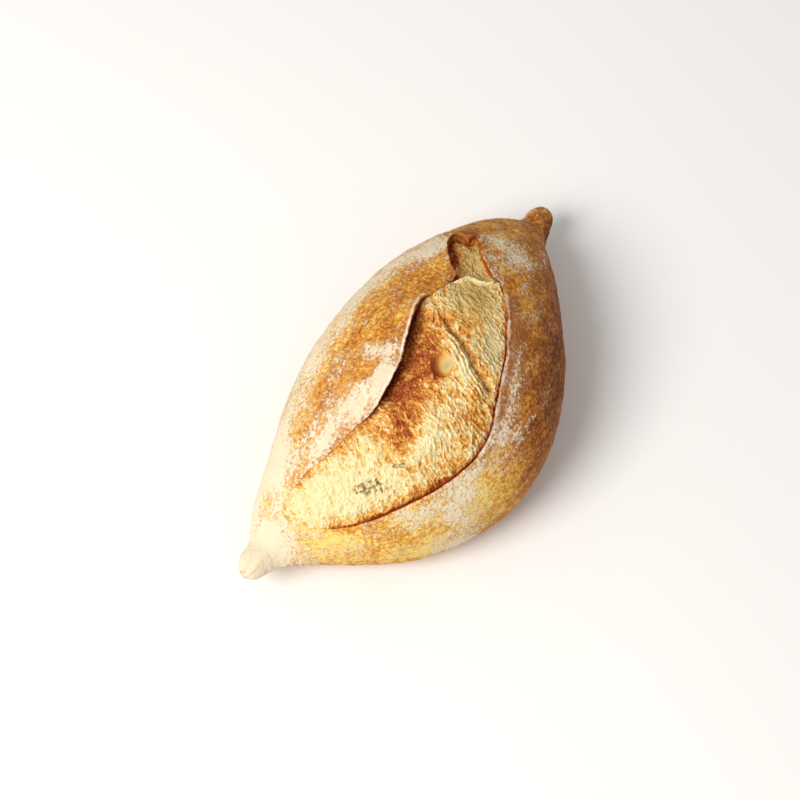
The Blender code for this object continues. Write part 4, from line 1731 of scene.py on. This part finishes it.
    def build(self, effects: SharedEffects) -> bpy.types.Object:
        """Models and dresses the crumb.

        Args:
            effects: The shared shader effects.

        Returns:
            The finished piece.
        """
        shape = self.shape
        mesh = self._grid()
        plan = vertex_array(mesh)[:, :2]
        surface = shape.form.above(plan)
        normals = shape.form.normal_above(plan)
        rim = shape.slash.field(surface)
        lip = shape.slash.lip(rim.place)
        within = np.maximum(rim.distance, 0.0)
        beyond = self.bubble_calm * shape.crumb.bubble.spread(plan) - self.bubble_start
        calm = 1.0 - smooth_step(beyond + self.BUBBLE_RIM.at(surface))
        hollow, pore_shade_share = self._hollows(surface)
        fine = self._fine_relief(surface) * (1.0 - calm)
        shown = smooth_step(self.shown_start + within / self.shown_width)
        level = shape.crumb.seated(plan, within, lip) + (self._lumps(surface) + fine) * shown - hollow
        level += self.tuck * np.minimum(rim.distance, 0.0)
        points = surface + normals * (level + shape.unevenness.at(surface))[:, None]
        for vertex, place in zip(mesh.verts, points):
            vertex.co = place
        self._close(mesh)
        piece = finished_object("torn_crumb", mesh, vertex_array(mesh) + shape.shift)
        self._paint(piece.data, surface, rim.distance, lip, pore_shade_share, fine, calm)
        piece.data.materials.append(self.finish.material(effects))
        return piece

    def _paint(
        self, data: bpy.types.Mesh, surface: Array, distance: Array, lip: Lip, hollow: Array,
        fine: Array, calm: Array,
    ) -> None:
        """Keeps how baked, olive, hollow, red or calm the crumb is at each vertex above its hidden base.

        Args:
            data: The crumb's mesh.
            surface: Each vertex's place on the smooth loaf.
            distance: How far inside the slash's edge each vertex is.
            lip: The lip nearest to each vertex.
            hollow: How much each vertex lies in a pore, which is painted darker as painted shade.
            fine: The fine relief, painted darker where it is low as painted shade in its recesses.
            calm: How smooth the crumb is there.
        """
        form, crumb = self.shape.form, self.shape.crumb
        within = np.maximum(distance, 0.0)
        beside = lip.band * np.exp(-((within / lip.band_reach) ** self.band_power))
        film = bell(crumb.film.side(surface[:, :2]), self.film_line)
        # Painted shade: the crumb is darker where its fine relief is low, in its recesses.
        recess = -self.recess_painted_shade * fine / MM
        covered = np.minimum(self.band_over_olive * beside, 1.0)
        keep_values(
            data,
            bake=(self.BAKE.at(form, surface) + beside + recess) * (1.0 - film) + self.film_bake * film,
            olive=self.OLIVE.at(form, surface) * (1.0 - film) * (1.0 - covered),
            hollow=hollow, red=lip.red * bell(within, self.rim_line),
            calm=np.maximum(calm, self.CALM.at(form, surface)),
        )


@dataclass(frozen=True)
class Studio:
    """The pale floor, the soft light and the camera."""

    floor_size: float = 3.0
    azimuth: float = -55.35
    elevation: float = 65.0
    distance: float = 0.5632
    lens: float = 86.0
    sensor: float = 36.0
    clip_start: float = 0.01
    target: tuple[float, float, float] = (-7.0 * MM, -1.2 * MM, 20.0 * MM)
    key_direction: tuple[float, float, float] = (-0.62, 0.20, 0.76)
    key_distance: float = 1.0
    key_size: float = 0.55
    key_power: float = 9.3
    key_colour: tuple[float, float, float] = (1.0, 0.965, 0.91)
    world_colour: Colour = (1.0, 0.985, 0.96, 1.0)
    world_strength: float = 0.47

    def build_floor(self) -> None:
        """A flat floor under the roll."""
        mesh = bmesh.new()
        bmesh.ops.create_grid(mesh, x_segments=2, y_segments=2, size=self.floor_size)
        data = bpy.data.meshes.new("pale_floor")
        mesh.to_mesh(data)
        mesh.free()
        data.materials.append(FloorFinish().material())
        placed("pale_floor", data)

    def build_light(self) -> None:
        """A large soft key light from the near tip's side, and an even pale sky."""
        light = bpy.data.lights.new("key_light", "AREA")
        light.shape = "DISK"
        light.size = self.key_size
        light.energy = self.key_power
        light.color = self.key_colour
        lamp = placed("key_light", light)
        direction = Vector(self.key_direction).normalized()
        lamp.location = direction * self.key_distance
        lamp.rotation_euler = direction.to_track_quat("Z", "Y").to_euler()
        world = bpy.data.worlds.new("pale_sky")
        world.use_nodes = True
        sky = world.node_tree.nodes["Background"]
        sky.inputs["Color"].default_value = self.world_colour
        sky.inputs["Strength"].default_value = self.world_strength
        bpy.context.scene.world = world

    def build_camera(self, shift: Array) -> None:
        """The camera at the photograph's angle, aimed at a point of the roll.

        Args:
            shift: How far the roll was moved to the frame.
        """
        azimuth, elevation = math.radians(self.azimuth), math.radians(self.elevation)
        level = math.cos(elevation)
        back = Vector((math.sin(azimuth) * level, -math.cos(azimuth) * level, math.sin(elevation)))
        data = bpy.data.cameras.new("camera")
        data.lens = self.lens
        data.sensor_width = self.sensor
        data.clip_start = self.clip_start
        camera = placed("camera", data)
        camera.location = Vector(self.target) + Vector(shift) + back * self.distance
        camera.rotation_euler = back.to_track_quat("Z", "Y").to_euler()
        bpy.context.scene.camera = camera


def report(piece: bpy.types.Object) -> None:
    """Logs a piece's name and triangles."""
    piece.data.calc_loop_triangles()
    LOG.info("%s: %d triangles", piece.name, len(piece.data.loop_triangles))


def main() -> None:
    """Builds the crust, the crumb and the studio, in that order."""
    logging.basicConfig(level=logging.INFO)
    effects = SharedEffects.make()
    shape = RollShape.make()
    for maker in (BakedCrust(shape, CrustFinish()), TornCrumb(shape, CrumbFinish())):
        piece = maker.build(effects)
        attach(piece, BODY_NAME)
        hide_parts(NODE_NAME)
        report(piece)
    studio = Studio()
    studio.build_floor()
    studio.build_light()
    studio.build_camera(shape.shift)
    bpy.context.scene.view_settings.view_transform = "Standard"


if __name__ == "__main__":
    main()
